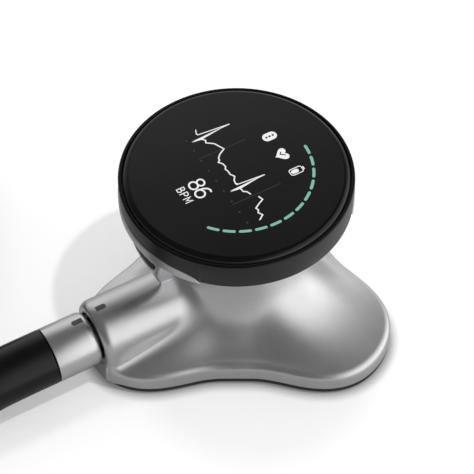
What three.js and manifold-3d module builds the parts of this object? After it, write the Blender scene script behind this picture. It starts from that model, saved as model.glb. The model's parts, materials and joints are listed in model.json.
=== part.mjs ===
// A digital stethoscope: a three-lobed metal chestpiece with a round display on its head,
// a plug-in connector with its hose, and a sprung headset.
// Millimetres. +Z is up. The origin is on the floor, under the middle of the diaphragm.
// The hose leaves the chestpiece along -X.

import * as THREE from 'three';
import { mergeVertices } from 'three/addons/utils/BufferGeometryUtils.js';
import Module from 'manifold-3d';

const wasm = await Module();
wasm.setup();

// General clearances
const seat = 0.3;          // between two pieces that touch on the real object
const cutOver = 1.0;       // how far a cutting tool runs past the face it cuts
const weld = 1e-4;         // vertices nearer than this are one
const quarterTurn = Math.PI / 2;
const degree = Math.PI / 180;
const endParts = 5;        // straight parts in a round end
const sectorParts = 14;    // straight parts along a sector of a ring

// Shell of the chestpiece: three lobes, a waist and a bowl under the display
const lobeCount = 3;
const lobeReach = 36.0;    // axis to the tip of a lobe
const valleyReach = 22.7;  // axis to the hollow between two lobes
const lobeRoundShare = 0.0234;
const lobeFlatShare = -0.0295;
const shellLift = 1.4;     // floor to the metal rim
const rimHeight = 4.4;     // the rim's upright wall with its fillet
const rimFillet = 0.9;
const rimChamfer = 0.3;
const waistRadius = 12.6;
const waistDrop = 11.0;    // bezel's underside down to the waist
const flareShare = 0.55;   // how far a lobe runs out flat before it turns up to the waist
const flareSlopeShare = 0.2;
const waistPull = 13.0;    // length of the upright pull of the curve under the waist
const bowlPull = 5.1;      // the same above the waist
const bowlInset = 0.6;     // bezel's edge in to the flange under it
const bowlShoulderInset = 2.9;
const bowlShoulderDrop = 5.1;
const roundSteps = 60;
const flareSteps = 8;
const bowlSteps = 5;
const filletSteps = 3;

// Bezel and display
const bezelRadius = 24.0;
const bezelHeight = 5.84;
const bezelZ = 36.4;       // underside of the bezel
const bezelWall = 2.1;
const bezelChamfer = 0.3;
const bezelLip = 0.5;      // width of the thin lip round the glass
const ledgeReach = 1.0;    // ledge that carries the glass: bezel's bore in to its edge
const ledgeDrop = 1.34;    // bezel's top edge down to the ledge
const ledgeThick = 1.2;
const ledgeSlope = 0.5;
const glassThick = 1.7;
const glassRound = 1.6;    // width of the curved edge
const glassFall = 1.0;     // height of the curved edge
const glassChamfer = 0.3;
const glassSteps = 4;
const panelInset = 2.3;    // ledge's edge in to the panel
const panelThick = 2.4;
const tailWide = 6.0;      // flex tail at the panel's edge
const tailReach = 1.4;
const tailThick = 1.2;
const panelSteps = 48;

// Head pocket, with board, battery and switches
const pocketWall = 3.0;    // flange's edge in to the pocket
const shelfWide = 1.9;     // shelf that carries the board
const shelfDrop = 0.9;
const pocketDeep = 9.9;    // bezel's underside down to the pocket's floor
const pocketHeel = 1.5;
const waistWall = 3.1;
const shelfTall = 2.0;     // the shelf's upright inner face
const boardThick = 1.0;
const chipSide = 7.0;
const chipThick = 1.1;
const chipPitch = 9.0;
const cellSide = 18.0;
const cellThick = 4.6;
const cellRound = 2.5;
const switchWide = 4.6;
const switchDeep = 2.8;
const switchTall = 1.6;

// Pods on the head, one over the hose and one behind
const podHalfAngle = 43 * degree;
const podFaceHalf = 9.0;   // half-width of a pod's face at its top
const keelHalf = 0.8;
const frontKeelInset = 5.8; // bezel's edge in to a pod's foot
const podBulge = 0.35;
const rearKeelInset = 11.0;
const rearPodTall = 9.9;
const podBack = 9.0;       // where a pod's cheeks end inside the bowl
const podBackHalf = 17.0;
const keelBackHalf = 2.4;
const stripHeight = 1.1;   // silver strip over the bezel's lower edge
const stripThick = 1.3;
const stripRoot = 0.9;     // how far the strip's foot goes down into the flange
const podSteps = 5;
const faceSteps = 6;

// Button in the front pod's window, which tapers down with the pod's face
const windowTall = 4.6;
const windowInset = 0.95;  // pod's corner edge in to the window
const windowRound = 0.7;
const windowDrop = 3.2;    // bezel's underside down to the window's top edge
const windowWall = 0.5;    // between the window and the pocket
const buttonRecess = 0.6;
const buttonGap = 0.25;
const buttonTravel = 0.5;
const plungerDrop = 1.2;   // window's top edge down to the plunger's middle
const plungerWide = 3.0;
const plungerTall = 1.4;

// Key on the bezel's side
const keyAngle = -14 * degree;
const keyLong = 6.6;
const keyTall = 1.3;
const keyProud = 0.7;
const keyRise = 3.0;       // key's middle above the bezel's underside
const keyTravel = 0.3;

// Charging socket in the rear pod
const portWide = 8.9;
const portTall = 3.2;
const portDeep = 6.6;
const portWall = 0.3;
const portDrop = 3.3;      // bezel's underside down to the socket's middle
const portSink = 0.4;      // socket's mouth behind the pod's face
const tongueWide = 6.4;
const tongueTall = 0.7;
const tongueShy = 1.0;

// Barrel over the front lobe, with its socket
const barrelWall = 2.2;
const boreFloor = 1.5;     // between the bore and the recess in the base
const mouthInset = 0.9;    // lobe's tip in to the barrel's mouth
const barrelNoseLong = 2.1;
const barrelNoseFall = 1.25;
const barrelRoot = 8.0;
const barrelSteps = 14;
const noseSteps = 4;
const boreDeep = 19.9;
const boreSteps = 40;
const linerWall = 1.0;
const linerGap = 0.5;      // liner to the plug's stem
const linerShy = 0.5;      // liner's front behind the mouth
const driverLong = 4.8;

// Connector and plug
const hoseRadius = 6.0;
const sleeveLong = 9.8;
const sleeveSteps = 36;
const noseRound = 1.1;
const noseLong = 1.8;
const stemRadius = 3.4;
const stemWall = 0.5;      // under the seal's groove
const stemReach = 11.5;    // barrel's mouth in to the stem's tip
const stemChamfer = 0.5;
const stemSteps = 28;
const sealDepth = 5.1;     // barrel's mouth in to the seal
const sealSection = 0.5;
const sealInset = 0.2;     // stem's side in to the middle of the seal's section
const sealGap = 0.2;       // between the seal and its groove
const sealSides = 6;

// Underside: gasket, plate, diaphragm, electrodes
const recessInset = 1.6;
const gasketInset = 0.6;
const gasketInnerInset = 3.2;
const gasketThick = 0.7;
const plateInset = 1.9;
const plateThick = 1.9;
const ringInset = 3.6;     // valley's outline in to the diaphragm's ring
const ringWide = 1.8;
const diaphragmThick = 0.4;
const diaphragmSteps = 48;
const chamberShy = 0.5;    // diaphragm's edge in to the chamber over it
const electrodeRadius = 4.8;
const electrodeInset = 8.7; // lobe's tip in to an electrode's middle
const electrodeSteps = 28;
const studRadius = 1.6;
const studSteps = 16;
const screwAngle = 16 * degree;
const screwInset = 8.4;    // the same to a screw
const screwHeadRadius = 1.5;
const screwHeadTall = 0.8;
const screwRadius = 0.8;
const screwBite = 0.5;     // how far a screw's tip stands above the rim
const screwSteps = 12;
const sensorRadius = 5.0;
const sensorThick = 3.5;
const sensorSteps = 32;
const channelRadius = 2.4;
const channelSteps = 16;
const leadWide = 3.0;
const leadThick = 0.5;
const leadSteps = 24;
const outlineSteps = 60;

// Hose route: a straight start, one coil, and a stretch that crosses it to the headset
const coilCentreX = -100.0;
const coilStartRadius = 66.0;
const coilEndRadius = 54.0;
const coilTurn = 370 * degree;
const coilClimbShare = 0.26;
const crossZ = 18.7;       // hose axis where it crosses itself
const coilSteps = 26;
const hoseSides = 10;
const coilSides = 6;
const startSteps = 9;
const finishSteps = 18;
const gapSamples = 400;

// Headset
const yokeRadius = 8.2;
const yokeLong = 24.0;
const yokeBoreDeep = 9.0;
const yokeBoreGap = 0.35;
const yokeTaper = 0.6;
const yokeTaperLong = 2.4;
const yokeSteps = 32;
const stubWall = 1.3;      // round an arm's ball
const stubStart = 14.0;
const stubSteps = 24;
const pivotX = 36.0;
const armAngle = 20 * degree;
const ballRadius = 4.7;
const ballSteps = 20;
const ballRows = 12;
const armRows = 6;
const armSteps = 24;
const armLong = 42.0;
const armRootRadius = 4.3;
const armRootAt = 3.0;     // where the arm has narrowed past its ball
const armTipRadius = 4.2;
const earRadius = 3.0;
const earInsert = 14.0;
const earReach = 189.6;    // yoke's inlet to the ear tips, along the hose's heading
const earSpread = 48.2;    // middle line to an ear tube where it stands widest
const springThick = 0.8;
const springTall = 8.0;
const springLong = 24.0;   // how far the leaf spring runs along each arm
const springRoot = 5.0;    // its bend before the pivots
const springBend = 1.212;  // half the width of the bend
const springRise = 0.21;   // extra room round the ball
const springTouch = 12.0;  // where the spring has closed up to the arm
const springSteps = 44;
const tipRadius = 6.3;
const tipLong = 13.0;
const tipNeckRadius = 4.6;
const tipGrip = 7.0;       // how far an ear tip reaches over its tube
const tipHole = 1.2;
const tipZ = 6.4;
const tipSteps = 24;
const earSteps = 24;
const earSides = 8;

// Sizes worked out from those above
const outlineMean = (lobeReach + valleyReach) / 2;
const outlineHalf = (lobeReach - valleyReach) / 2;
const waistZ = bezelZ - waistDrop;
const bezelInner = bezelRadius - bezelWall;
const ledgeInner = bezelInner - ledgeReach;
const glassRadius = bezelRadius - bezelLip - seat;
const panelRadius = ledgeInner - panelInset;
const bowlRadius = bezelRadius - bowlInset;
const bowlShoulderRadius = bowlRadius - bowlShoulderInset;
const pocketRadius = bowlRadius - pocketWall;
const shelfInner = pocketRadius - shelfWide;
const pocketFloorRadius = waistRadius - waistWall;
const windowFloor = shelfInner + windowWall;
const frontKeelRadius = bezelRadius - frontKeelInset;
const rearKeelRadius = bezelRadius - rearKeelInset;
const flangeZ = bezelZ - seat;
const shelfZ = flangeZ - shelfDrop;
const pocketWallZ = shelfZ - shelfTall;
const pocketFloorZ = bezelZ - pocketDeep;
const rearKeelZ = bezelZ - rearPodTall;
const bezelTopZ = bezelZ + bezelHeight;
const ledgeZ = bezelTopZ - ledgeDrop;
const glassZ = ledgeZ + seat;
const boardZ = shelfZ + seat;
const windowTop = bezelZ - windowDrop;
const windowFoot = windowTop - windowTall;
const plungerZ = windowTop - plungerDrop;
const switchOuter = shelfInner - seat - buttonTravel - seat;
const switchFoot = plungerZ - switchTall / 2;
const portZ = bezelZ - portDrop;
const boreRadius = stemRadius + linerGap + linerWall + seat;
const barrelRadius = boreRadius + barrelWall;
const recessTop = shellLift + plateThick + seat;
const axleZ = recessTop + boreFloor + boreRadius;
const keelZ = axleZ + barrelRadius - seat;
const barrelMouth = lobeReach - mouthInset;
const boreEnd = barrelMouth - boreDeep;
const sleeveStart = barrelMouth + seat;
const sleeveEnd = sleeveStart + sleeveLong;
const hoseStart = sleeveEnd + seat;
const stemTip = barrelMouth - stemReach;
const sealAt = barrelMouth - sealDepth;
const sealRing = stemRadius - sealInset;
const grooveRadius = sealRing - sealSection - sealGap;
const grooveHalf = sealSection + seat;
const stemBore = grooveRadius - stemWall;
const sensorZ = recessTop + seat;
const plateZ = shellLift;
const gasketZ = plateZ - seat - gasketThick;
const electrodeAt = lobeReach - electrodeInset;
const studTop = recessTop - 2 * seat;
const screwAt = lobeReach - screwInset;
const screwTop = shellLift + rimHeight + screwBite;
const rimRingRadius = valleyReach - ringInset;
const diaphragmRadius = rimRingRadius - ringWide - seat;
const chamberRadius = diaphragmRadius - chamberShy;
const stubRadius = ballRadius + seat + stubWall;
const springClear = springThick / 2 + seat;
const pivotY = springBend + springRoot * Math.sin(armAngle) + (stubRadius + springClear) * Math.cos(armAngle);
const coilCentreY = coilStartRadius;

// Colours and finishes
function finish(color, roughness, metalness) {
  return new THREE.MeshStandardMaterial({ color, roughness, metalness });
}
const satinMetal = finish(0xb4b5b7, 0.35, 0.9);
const brightMetal = finish(0xd0d0d0, 0.2, 1.0);
const blackMetal = finish(0x26262a, 0.3, 0.4);
const blackGlass = finish(0x0b0b0d, 0.05, 0.0);
const blackRubber = finish(0x141416, 0.5, 0.0);
const blackPlastic = finish(0x1c1c1f, 0.45, 0.0);
const greyPlastic = finish(0x8a8b8e, 0.5, 0.0);
const boardGreen = finish(0x1d4a33, 0.5, 0.1);
const cellSilver = finish(0xa9adb3, 0.4, 0.6);
const copper = finish(0xb87333, 0.35, 0.9);
const membrane = finish(0xd9dad8, 0.4, 0.0);

const product = new THREE.Group();

function addPiece(parent, name, geometry, material) {
  const mesh = new THREE.Mesh(geometry, material);
  mesh.name = name;
  parent.add(mesh);
  return mesh;
}

// A geometry as a solid that can be joined and cut
function solidOf(geometry) {
  const plain = geometry.clone();
  plain.deleteAttribute('normal');
  plain.deleteAttribute('uv');
  const merged = mergeVertices(plain, weld);
  const corners = merged.index.array;
  const triangles = [];
  for (let i = 0; i < corners.length; i += 3) {
    const [a, b, c] = [corners[i], corners[i + 1], corners[i + 2]];
    if (a !== b && b !== c && c !== a) triangles.push(a, b, c);
  }
  const vertProperties = Float32Array.from(merged.attributes.position.array);
  const triVerts = Uint32Array.from(triangles);
  return new wasm.Manifold(new wasm.Mesh({ numProp: 3, vertProperties, triVerts }));
}

function geometryOf(solid) {
  const mesh = solid.getMesh();
  const geometry = new THREE.BufferGeometry();
  geometry.setAttribute('position', new THREE.BufferAttribute(mesh.vertProperties, 3));
  geometry.setIndex(new THREE.BufferAttribute(mesh.triVerts, 1));
  geometry.computeVertexNormals();
  return geometry;
}

function cut(base, ...tools) {
  return tools.reduce((solid, tool) => solid.subtract(tool), base);
}

function join(base, ...others) {
  return others.reduce((solid, other) => solid.add(other), base);
}

// A turned body about the Z axis, from [radius, height] pairs
function turned(profile, steps = roundSteps) {
  const points = profile.map(([r, z]) => new THREE.Vector2(r, z));
  return new THREE.LatheGeometry(points, steps).rotateX(quarterTurn);
}

// A round tube wall about the Z axis
function ringOf(inner, outer, low, high, steps = roundSteps) {
  return turned([[inner, low], [outer, low], [outer, high], [inner, high], [inner, low]], steps);
}

function discOf(radius, low, high, steps = roundSteps) {
  return turned([[0, low], [radius, low], [radius, high], [0, high]], steps);
}

// Turns a body about Z into one about -X: its height becomes the distance from the chestpiece's axis
function alongHose(geometry) {
  return geometry.rotateY(-quarterTurn).translate(0, 0, axleZ);
}

function boxOf(wide, deep, tall, x, y, z) {
  return new THREE.BoxGeometry(wide, deep, tall).translate(x, y, z);
}

function slabOf(shape, depth, curveSegments) {
  return new THREE.ExtrudeGeometry(shape, { depth, bevelEnabled: false, curveSegments });
}

// A slab with rounded ends that runs along X: long in Y, tall in Z
function stadiumAlongX(halfLong, tall, low, high, z) {
  const r = tall / 2;
  const shape = new THREE.Shape();
  shape.absarc(halfLong - r, 0, r, -quarterTurn, quarterTurn, false);
  shape.absarc(r - halfLong, 0, r, quarterTurn, quarterTurn * 3, false);
  return slabOf(shape, high - low, endParts).rotateX(quarterTurn).rotateZ(quarterTurn).translate(low, 0, z);
}

// A closed body through rings of points; each ring is closed, and both ends are capped from their middle
function loft(rings) {
  const count = rings[0].length;
  const points = rings.flat();
  const corners = [];
  for (let row = 0; row < rings.length - 1; row += 1) {
    for (let i = 0; i < count; i += 1) {
      const j = (i + 1) % count;
      const [a, b, c, d] = [row * count + i, row * count + j, (row + 1) * count + j, (row + 1) * count + i];
      corners.push(a, b, c, a, c, d);
    }
  }
  for (const [row, flip] of [[0, true], [rings.length - 1, false]]) {
    const middle = rings[row].reduce((sum, p) => sum.clone().add(p)).divideScalar(count);
    const tip = points.push(middle) - 1;
    for (let i = 0; i < count; i += 1) {
      const j = (i + 1) % count;
      const [a, b] = [row * count + i, row * count + j];
      corners.push(tip, flip ? b : a, flip ? a : b);
    }
  }
  const geometry = new THREE.BufferGeometry();
  const places = points.flatMap((p) => [p.x, p.y, p.z]);
  geometry.setAttribute('position', new THREE.Float32BufferAttribute(places, 3));
  geometry.setIndex(corners);
  return geometry;
}

// The three-lobed outline, with one lobe under the hose
function reachAt(angle) {
  const round = lobeRoundShare * 2 * outlineHalf;
  const flat = lobeFlatShare * 2 * outlineHalf;
  const t = lobeCount * (angle - Math.PI);
  const main = outlineMean - round + (outlineHalf - flat) * Math.cos(t);
  return main + round * Math.cos(2 * t) + flat * Math.cos(3 * t);
}

function outlineRing(inset, z, steps) {
  return Array.from({ length: steps }, (_, i) => {
    const angle = (i / steps) * 2 * Math.PI;
    const r = reachAt(angle) - inset;
    return new THREE.Vector3(r * Math.cos(angle), r * Math.sin(angle), z);
  });
}

function lobedSlab(inset, low, high) {
  return loft([outlineRing(inset, low, outlineSteps), outlineRing(inset, high, outlineSteps)]);
}

function bezierAt(t, a, b, c, d) {
  const s = 1 - t;
  return s * s * s * a + 3 * s * s * t * b + 3 * s * t * t * c + t * t * t * d;
}

// [radius, height] pairs of the shell's outside at one angle, from the rim's foot to the flange
function shellProfile(angle) {
  const reach = reachAt(angle);
  const rimZ = shellLift + rimHeight;
  const profile = [[reach - rimChamfer, shellLift], [reach, shellLift + rimChamfer]];
  for (let k = 0; k <= filletSteps; k += 1) {
    const a = (k / filletSteps) * quarterTurn;
    profile.push([reach - rimFillet * (1 - Math.cos(a)), rimZ - rimFillet * (1 - Math.sin(a))]);
  }
  const edge = reach - rimFillet;
  const run = (edge - waistRadius) * flareShare;
  for (let k = 1; k <= flareSteps; k += 1) {
    const t = k / flareSteps;
    profile.push([
      bezierAt(t, edge, edge - run, waistRadius, waistRadius),
      bezierAt(t, rimZ, rimZ + run * flareSlopeShare, waistZ - waistPull, waistZ),
    ]);
  }
  for (let k = 1; k <= bowlSteps; k += 1) {
    const t = k / bowlSteps;
    profile.push([
      bezierAt(t, waistRadius, waistRadius, bowlShoulderRadius, bowlRadius),
      bezierAt(t, waistZ, waistZ + bowlPull, flangeZ - bowlShoulderDrop, flangeZ),
    ]);
  }
  return profile;
}

function shellBody() {
  const angles = Array.from({ length: roundSteps }, (_, i) => (i / roundSteps) * 2 * Math.PI);
  const profiles = angles.map(shellProfile);
  const rings = profiles[0].map((_, row) => angles.map((angle, i) => {
    const [r, z] = profiles[i][row];
    return new THREE.Vector3(r * Math.cos(angle), r * Math.sin(angle), z);
  }));
  return solidOf(loft(rings));
}

// The barrel is round above its axis and drops straight to the rim below it
function barrelRing(x, radius) {
  const ring = [];
  for (let i = 0; i <= barrelSteps; i += 1) {
    const a = (i / barrelSteps) * Math.PI;
    ring.push(new THREE.Vector3(x, radius * Math.cos(a), axleZ + radius * Math.sin(a)));
  }
  ring.push(new THREE.Vector3(x, -radius, shellLift + rimChamfer));
  ring.push(new THREE.Vector3(x, radius, shellLift + rimChamfer));
  return ring;
}

function barrelBody() {
  const rings = [barrelRing(-barrelRoot, barrelRadius)];
  for (let k = 0; k <= noseSteps; k += 1) {
    const a = (k / noseSteps) * quarterTurn;
    const x = -(barrelMouth - barrelNoseLong + barrelNoseLong * Math.sin(a));
    rings.push(barrelRing(x, barrelRadius - barrelNoseFall * (1 - Math.cos(a))));
  }
  return solidOf(loft(rings.reverse()));
}

// A pod's face is widest under the bezel and runs down and inwards to a keel.
// Side is -1 over the hose and 1 behind.
function podBody(side, keelRadius, footZ) {
  const rings = [];
  for (let k = 0; k <= podSteps; k += 1) {
    const t = k / podSteps;
    const radius = THREE.MathUtils.lerp(keelRadius, bezelRadius, t) + podBulge * Math.sin(Math.PI * t);
    const half = Math.asin(THREE.MathUtils.lerp(keelHalf, podFaceHalf, t) / radius);
    const backHalf = THREE.MathUtils.lerp(keelBackHalf, podBackHalf, t);
    const z = THREE.MathUtils.lerp(footZ, bezelZ, t);
    const ring = [new THREE.Vector3(side * podBack, -side * backHalf, z)];
    for (let i = 0; i <= faceSteps; i += 1) {
      const a = -half + (2 * half * i) / faceSteps;
      ring.push(new THREE.Vector3(side * radius * Math.cos(a), side * radius * Math.sin(a), z));
    }
    ring.push(new THREE.Vector3(side * podBack, side * backHalf, z));
    rings.push(ring);
  }
  return solidOf(loft(rings));
}

// A sector of a ring, centred on one side of the head
function sectorBody(side, inner, outer, halfAngle, low, high) {
  const middle = side > 0 ? 0 : Math.PI;
  const shape = new THREE.Shape();
  shape.absarc(0, 0, outer, middle - halfAngle, middle + halfAngle, false);
  shape.absarc(0, 0, inner, middle + halfAngle, middle - halfAngle, true);
  return solidOf(slabOf(shape, high - low, sectorParts).translate(0, 0, low));
}

function headPocket() {
  return solidOf(turned([
    [0, pocketFloorZ],
    [pocketFloorRadius, pocketFloorZ],
    [pocketFloorRadius + pocketHeel, pocketFloorZ + pocketHeel],
    [shelfInner, pocketWallZ],
    [shelfInner, shelfZ],
    [pocketRadius, shelfZ],
    [pocketRadius, flangeZ + cutOver],
    [0, flangeZ + cutOver],
  ]));
}

function screwPlaces() {
  return Array.from({ length: lobeCount }, (_, i) => Math.PI + (i * 2 * Math.PI) / lobeCount + screwAngle)
    .map((a) => [screwAt * Math.cos(a), screwAt * Math.sin(a)]);
}

function screwHoles(low, high) {
  const hole = discOf(screwRadius + seat, low, high, screwSteps);
  return screwPlaces().map(([x, y]) => solidOf(hole.clone().translate(x, y, 0)));
}

// Half-width of the front pod's face at a height
function podHalfAt(z) {
  return THREE.MathUtils.mapLinear(z, keelZ, bezelZ, keelHalf, podFaceHalf);
}

// The window's outline drawn in by a gap, as a solid between two distances from the axis
function windowPlug(gap, inner, outer) {
  const [low, high] = [windowFoot + gap, windowTop - gap];
  const corners = [[-1, low], [1, low], [1, high], [-1, high]].map(([side, z]) => (
    new THREE.Vector2(side * (podHalfAt(z) - windowInset - gap), z)
  ));
  const shape = new THREE.Shape();
  corners.forEach((corner, i) => {
    const toward = (other) => corner.clone().add(other.clone().sub(corner).setLength(windowRound));
    const start = toward(corners[(i + corners.length - 1) % corners.length]);
    const end = toward(corners[(i + 1) % corners.length]);
    shape[i ? 'lineTo' : 'moveTo'](start.x, start.y);
    shape.quadraticCurveTo(corner.x, corner.y, end.x, end.y);
  });
  shape.closePath();
  const slab = slabOf(shape, outer - inner, endParts);
  return solidOf(slab.rotateX(quarterTurn).rotateZ(quarterTurn).translate(-outer, 0, 0));
}

// Room in the pod for the lower part of the switch
function switchNiche() {
  const low = switchFoot - seat;
  const inner = switchOuter - switchDeep - seat;
  const tall = pocketWallZ + cutOver - low;
  return solidOf(boxOf(
    shelfInner - inner, switchWide + 2 * seat, tall, -(shelfInner + inner) / 2, 0, low + tall / 2,
  ));
}

function mainBody() {
  const whole = join(
    shellBody(),
    barrelBody(),
    podBody(-1, frontKeelRadius, keelZ),
    podBody(1, rearKeelRadius, rearKeelZ),
    ...[-1, 1].map((side) => sectorBody(
      side, bezelRadius - stripThick, bezelRadius, podHalfAngle, flangeZ - stripRoot, bezelZ + stripHeight,
    )),
  );
  const tools = [
    headPocket(),
    windowPlug(0, windowFloor, bezelRadius + cutOver),
    solidOf(boxOf(
      windowFloor - shelfInner + 2 * cutOver, plungerWide + 2 * buttonGap, plungerTall + 2 * buttonGap,
      -(windowFloor + shelfInner) / 2, 0, plungerZ,
    )),
    switchNiche(),
    solidOf(stadiumAlongX(
      portWide / 2 + seat, portTall + 2 * seat, portFace() - portDeep - seat, bezelRadius + cutOver, portZ,
    )),
    solidOf(alongHose(discOf(boreRadius, boreEnd, barrelMouth + cutOver, boreSteps))),
    solidOf(alongHose(discOf(hoseRadius + seat, barrelMouth, lobeReach + cutOver, boreSteps))),
    solidOf(lobedSlab(recessInset, shellLift - cutOver, recessTop)),
    solidOf(discOf(sensorRadius + 2 * seat, recessTop - seat, sensorZ + sensorThick + seat, sensorSteps)),
    solidOf(discOf(channelRadius, sensorZ, pocketFloorZ + cutOver, channelSteps)),
    ...screwHoles(recessTop - seat, screwTop + seat),
  ];
  return geometryOf(cut(whole, ...tools));
}

function bezelRing() {
  const lipInner = bezelRadius - bezelLip;
  const body = solidOf(turned([
    [bezelInner, bezelZ],
    [bezelRadius - bezelChamfer, bezelZ],
    [bezelRadius, bezelZ + bezelChamfer],
    [bezelRadius, bezelTopZ - bezelChamfer],
    [bezelRadius - bezelLip / 2, bezelTopZ],
    [lipInner, bezelTopZ],
    [lipInner, ledgeZ],
    [ledgeInner, ledgeZ],
    [ledgeInner, ledgeZ - ledgeThick],
    [bezelInner, ledgeZ - ledgeThick - ledgeSlope],
    [bezelInner, bezelZ],
  ]));
  const notches = [-1, 1].map((side) => sectorBody(
    side, bezelRadius - stripThick - seat, bezelRadius + cutOver, podHalfAngle + seat / bezelRadius,
    bezelZ - cutOver, bezelZ + stripHeight + seat,
  ));
  const keySlot = solidOf(
    stadiumAlongX(keyLong / 2 + buttonGap, keyTall + 2 * buttonGap, ledgeInner - seat, bezelRadius + cutOver,
      bezelZ + keyRise).rotateZ(keyAngle),
  );
  return geometryOf(cut(body, ...notches, keySlot));
}

function coverGlass() {
  const top = glassZ + glassThick;
  const profile = [[0, glassZ], [glassRadius - glassChamfer, glassZ], [glassRadius, glassZ + glassChamfer]];
  for (let k = 0; k <= glassSteps; k += 1) {
    const a = (k / glassSteps) * quarterTurn;
    profile.push([glassRadius - glassRound * (1 - Math.cos(a)), top - glassFall * (1 - Math.sin(a))]);
  }
  profile.push([0, top]);
  return turned(profile);
}

function displayPanel() {
  const top = glassZ - seat;
  const disc = solidOf(discOf(panelRadius, top - panelThick, top, panelSteps));
  const tail = solidOf(boxOf(
    tailWide, tailReach * 2, tailThick, 0, panelRadius, top - panelThick + tailThick / 2,
  ));
  return geometryOf(join(disc, tail));
}

function boardChips() {
  const low = boardZ + boardThick + seat / 2;
  const places = [[-chipPitch, 0], [0, chipPitch], [0, -chipPitch / 2]];
  return places.map(([x, y]) => boxOf(chipSide, chipSide, chipThick, x, y, low + chipThick / 2));
}

function batteryCell() {
  const half = cellSide / 2;
  const inner = half - cellRound;
  const shape = new THREE.Shape();
  for (const [x, y, a] of [[1, -1, -1], [1, 1, 0], [-1, 1, 1], [-1, -1, 2]]) {
    shape.absarc(x * inner, y * inner, cellRound, a * quarterTurn, (a + 1) * quarterTurn);
  }
  return slabOf(shape, cellThick, endParts).translate(0, 0, shelfZ - seat * 2 - cellThick);
}

// The flat lead from the sensor, up the waist and past the battery to the board
function sensorLead() {
  const side = cellSide / 2 + leadThick + seat;
  const route = new THREE.CatmullRomCurve3([
    new THREE.Vector3(0, 0, sensorZ + sensorThick + seat),
    new THREE.Vector3(0, 0, waistZ - waistRadius),
    new THREE.Vector3(0, 0, pocketFloorZ - pocketHeel),
    new THREE.Vector3(0, 0, pocketFloorZ + seat),
    new THREE.Vector3(0, side / 2, pocketFloorZ + pocketHeel + seat),
    new THREE.Vector3(0, side, pocketWallZ - pocketHeel * 2),
    new THREE.Vector3(0, side + leadThick, boardZ - seat),
  ]);
  const section = new THREE.Shape([
    new THREE.Vector2(-leadThick / 2, -leadWide / 2),
    new THREE.Vector2(leadThick / 2, -leadWide / 2),
    new THREE.Vector2(leadThick / 2, leadWide / 2),
    new THREE.Vector2(-leadThick / 2, leadWide / 2),
  ]);
  return new THREE.ExtrudeGeometry(section, { extrudePath: route, steps: leadSteps, bevelEnabled: false });
}

// The button follows the pod's face, a little behind it, and its plunger reaches the switch
function frontButton() {
  const faceAt = (z) => THREE.MathUtils.mapLinear(z, keelZ, bezelZ, frontKeelRadius, bezelRadius) - buttonRecess;
  const face = solidOf(turned([
    [0, windowFoot], [faceAt(windowFoot), windowFoot], [faceAt(windowTop), windowTop], [0, windowTop],
  ]));
  const back = windowFloor + buttonTravel + buttonGap;
  const cap = windowPlug(buttonGap, back, bezelRadius).intersect(face);
  const plungerStart = back + buttonGap;
  const plungerEnd = shelfInner - seat;
  const plunger = solidOf(boxOf(
    plungerStart - plungerEnd, plungerWide, plungerTall, -(plungerStart + plungerEnd) / 2, 0, plungerZ,
  ));
  return geometryOf(join(cap, plunger));
}

function frontSwitch() {
  const tall = shelfZ - switchFoot;
  return boxOf(switchDeep, switchWide, tall, -(switchOuter - switchDeep / 2), 0, shelfZ - tall / 2);
}

function sideKey() {
  const inner = ledgeInner + keyTravel;
  return stadiumAlongX(keyLong / 2, keyTall, inner, bezelRadius + keyProud, bezelZ + keyRise).rotateZ(keyAngle);
}

function sideSwitch() {
  const outer = ledgeInner - seat * 2;
  const long = outer - panelRadius - seat;
  const low = boardZ + boardThick + seat;
  const tall = bezelZ + keyRise + switchTall / 2 - low;
  return boxOf(long, switchWide, tall, outer - long / 2, 0, low + tall / 2).rotateZ(keyAngle);
}

function portFace() {
  const slope = (bezelRadius - rearKeelRadius) / (bezelZ - rearKeelZ);
  return bezelRadius - portDrop * slope + podBulge - portSink;
}

function chargePort() {
  const face = portFace();
  const outer = solidOf(stadiumAlongX(portWide / 2, portTall, face - portDeep, face, portZ));
  const inner = solidOf(stadiumAlongX(
    portWide / 2 - portWall, portTall - 2 * portWall, face - portDeep + portWall * 2, face + cutOver, portZ,
  ));
  return geometryOf(outer.subtract(inner));
}

function portTongue() {
  const face = portFace();
  const long = portDeep - portWall * 2 - tongueShy - seat;
  return boxOf(long, tongueWide, tongueTall, face - tongueShy - long / 2, 0, portZ);
}

function mainBoard() {
  return discOf(pocketRadius - seat, boardZ, boardZ + boardThick, panelSteps);
}

function acousticSensor() {
  return discOf(sensorRadius, sensorZ, sensorZ + sensorThick, sensorSteps);
}

function diaphragmRing() {
  return ringOf(diaphragmRadius + seat, rimRingRadius, 0, plateZ - seat, diaphragmSteps);
}

function socketLiner() {
  const outer = boreRadius - seat;
  const back = boreEnd + driverLong + 2 * seat;
  return alongHose(ringOf(outer - linerWall, outer, back, barrelMouth - linerShy, stemSteps));
}

function soundDriver() {
  const r = boreRadius - seat;
  const back = boreEnd + seat;
  const front = back + driverLong;
  return alongHose(turned([
    [0, back], [r - seat, back], [r, back + seat], [r, front], [r - linerWall, front],
    [r - linerWall, front - seat], [stemBore, front - seat * 2], [0, front - seat],
  ], stemSteps));
}

function connectorSleeve() {
  const bore = stemRadius + seat;
  const profile = [[bore, sleeveEnd], [hoseRadius, sleeveEnd]];
  for (let k = 0; k <= noseSteps; k += 1) {
    const a = (k / noseSteps) * quarterTurn;
    profile.push([
      hoseRadius - noseRound * (1 - Math.cos(a)),
      sleeveStart + noseLong * (1 - Math.sin(a)),
    ]);
  }
  profile.push([bore, sleeveStart], [bore, sleeveEnd]);
  return alongHose(turned(profile.reverse(), sleeveSteps));
}

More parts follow.
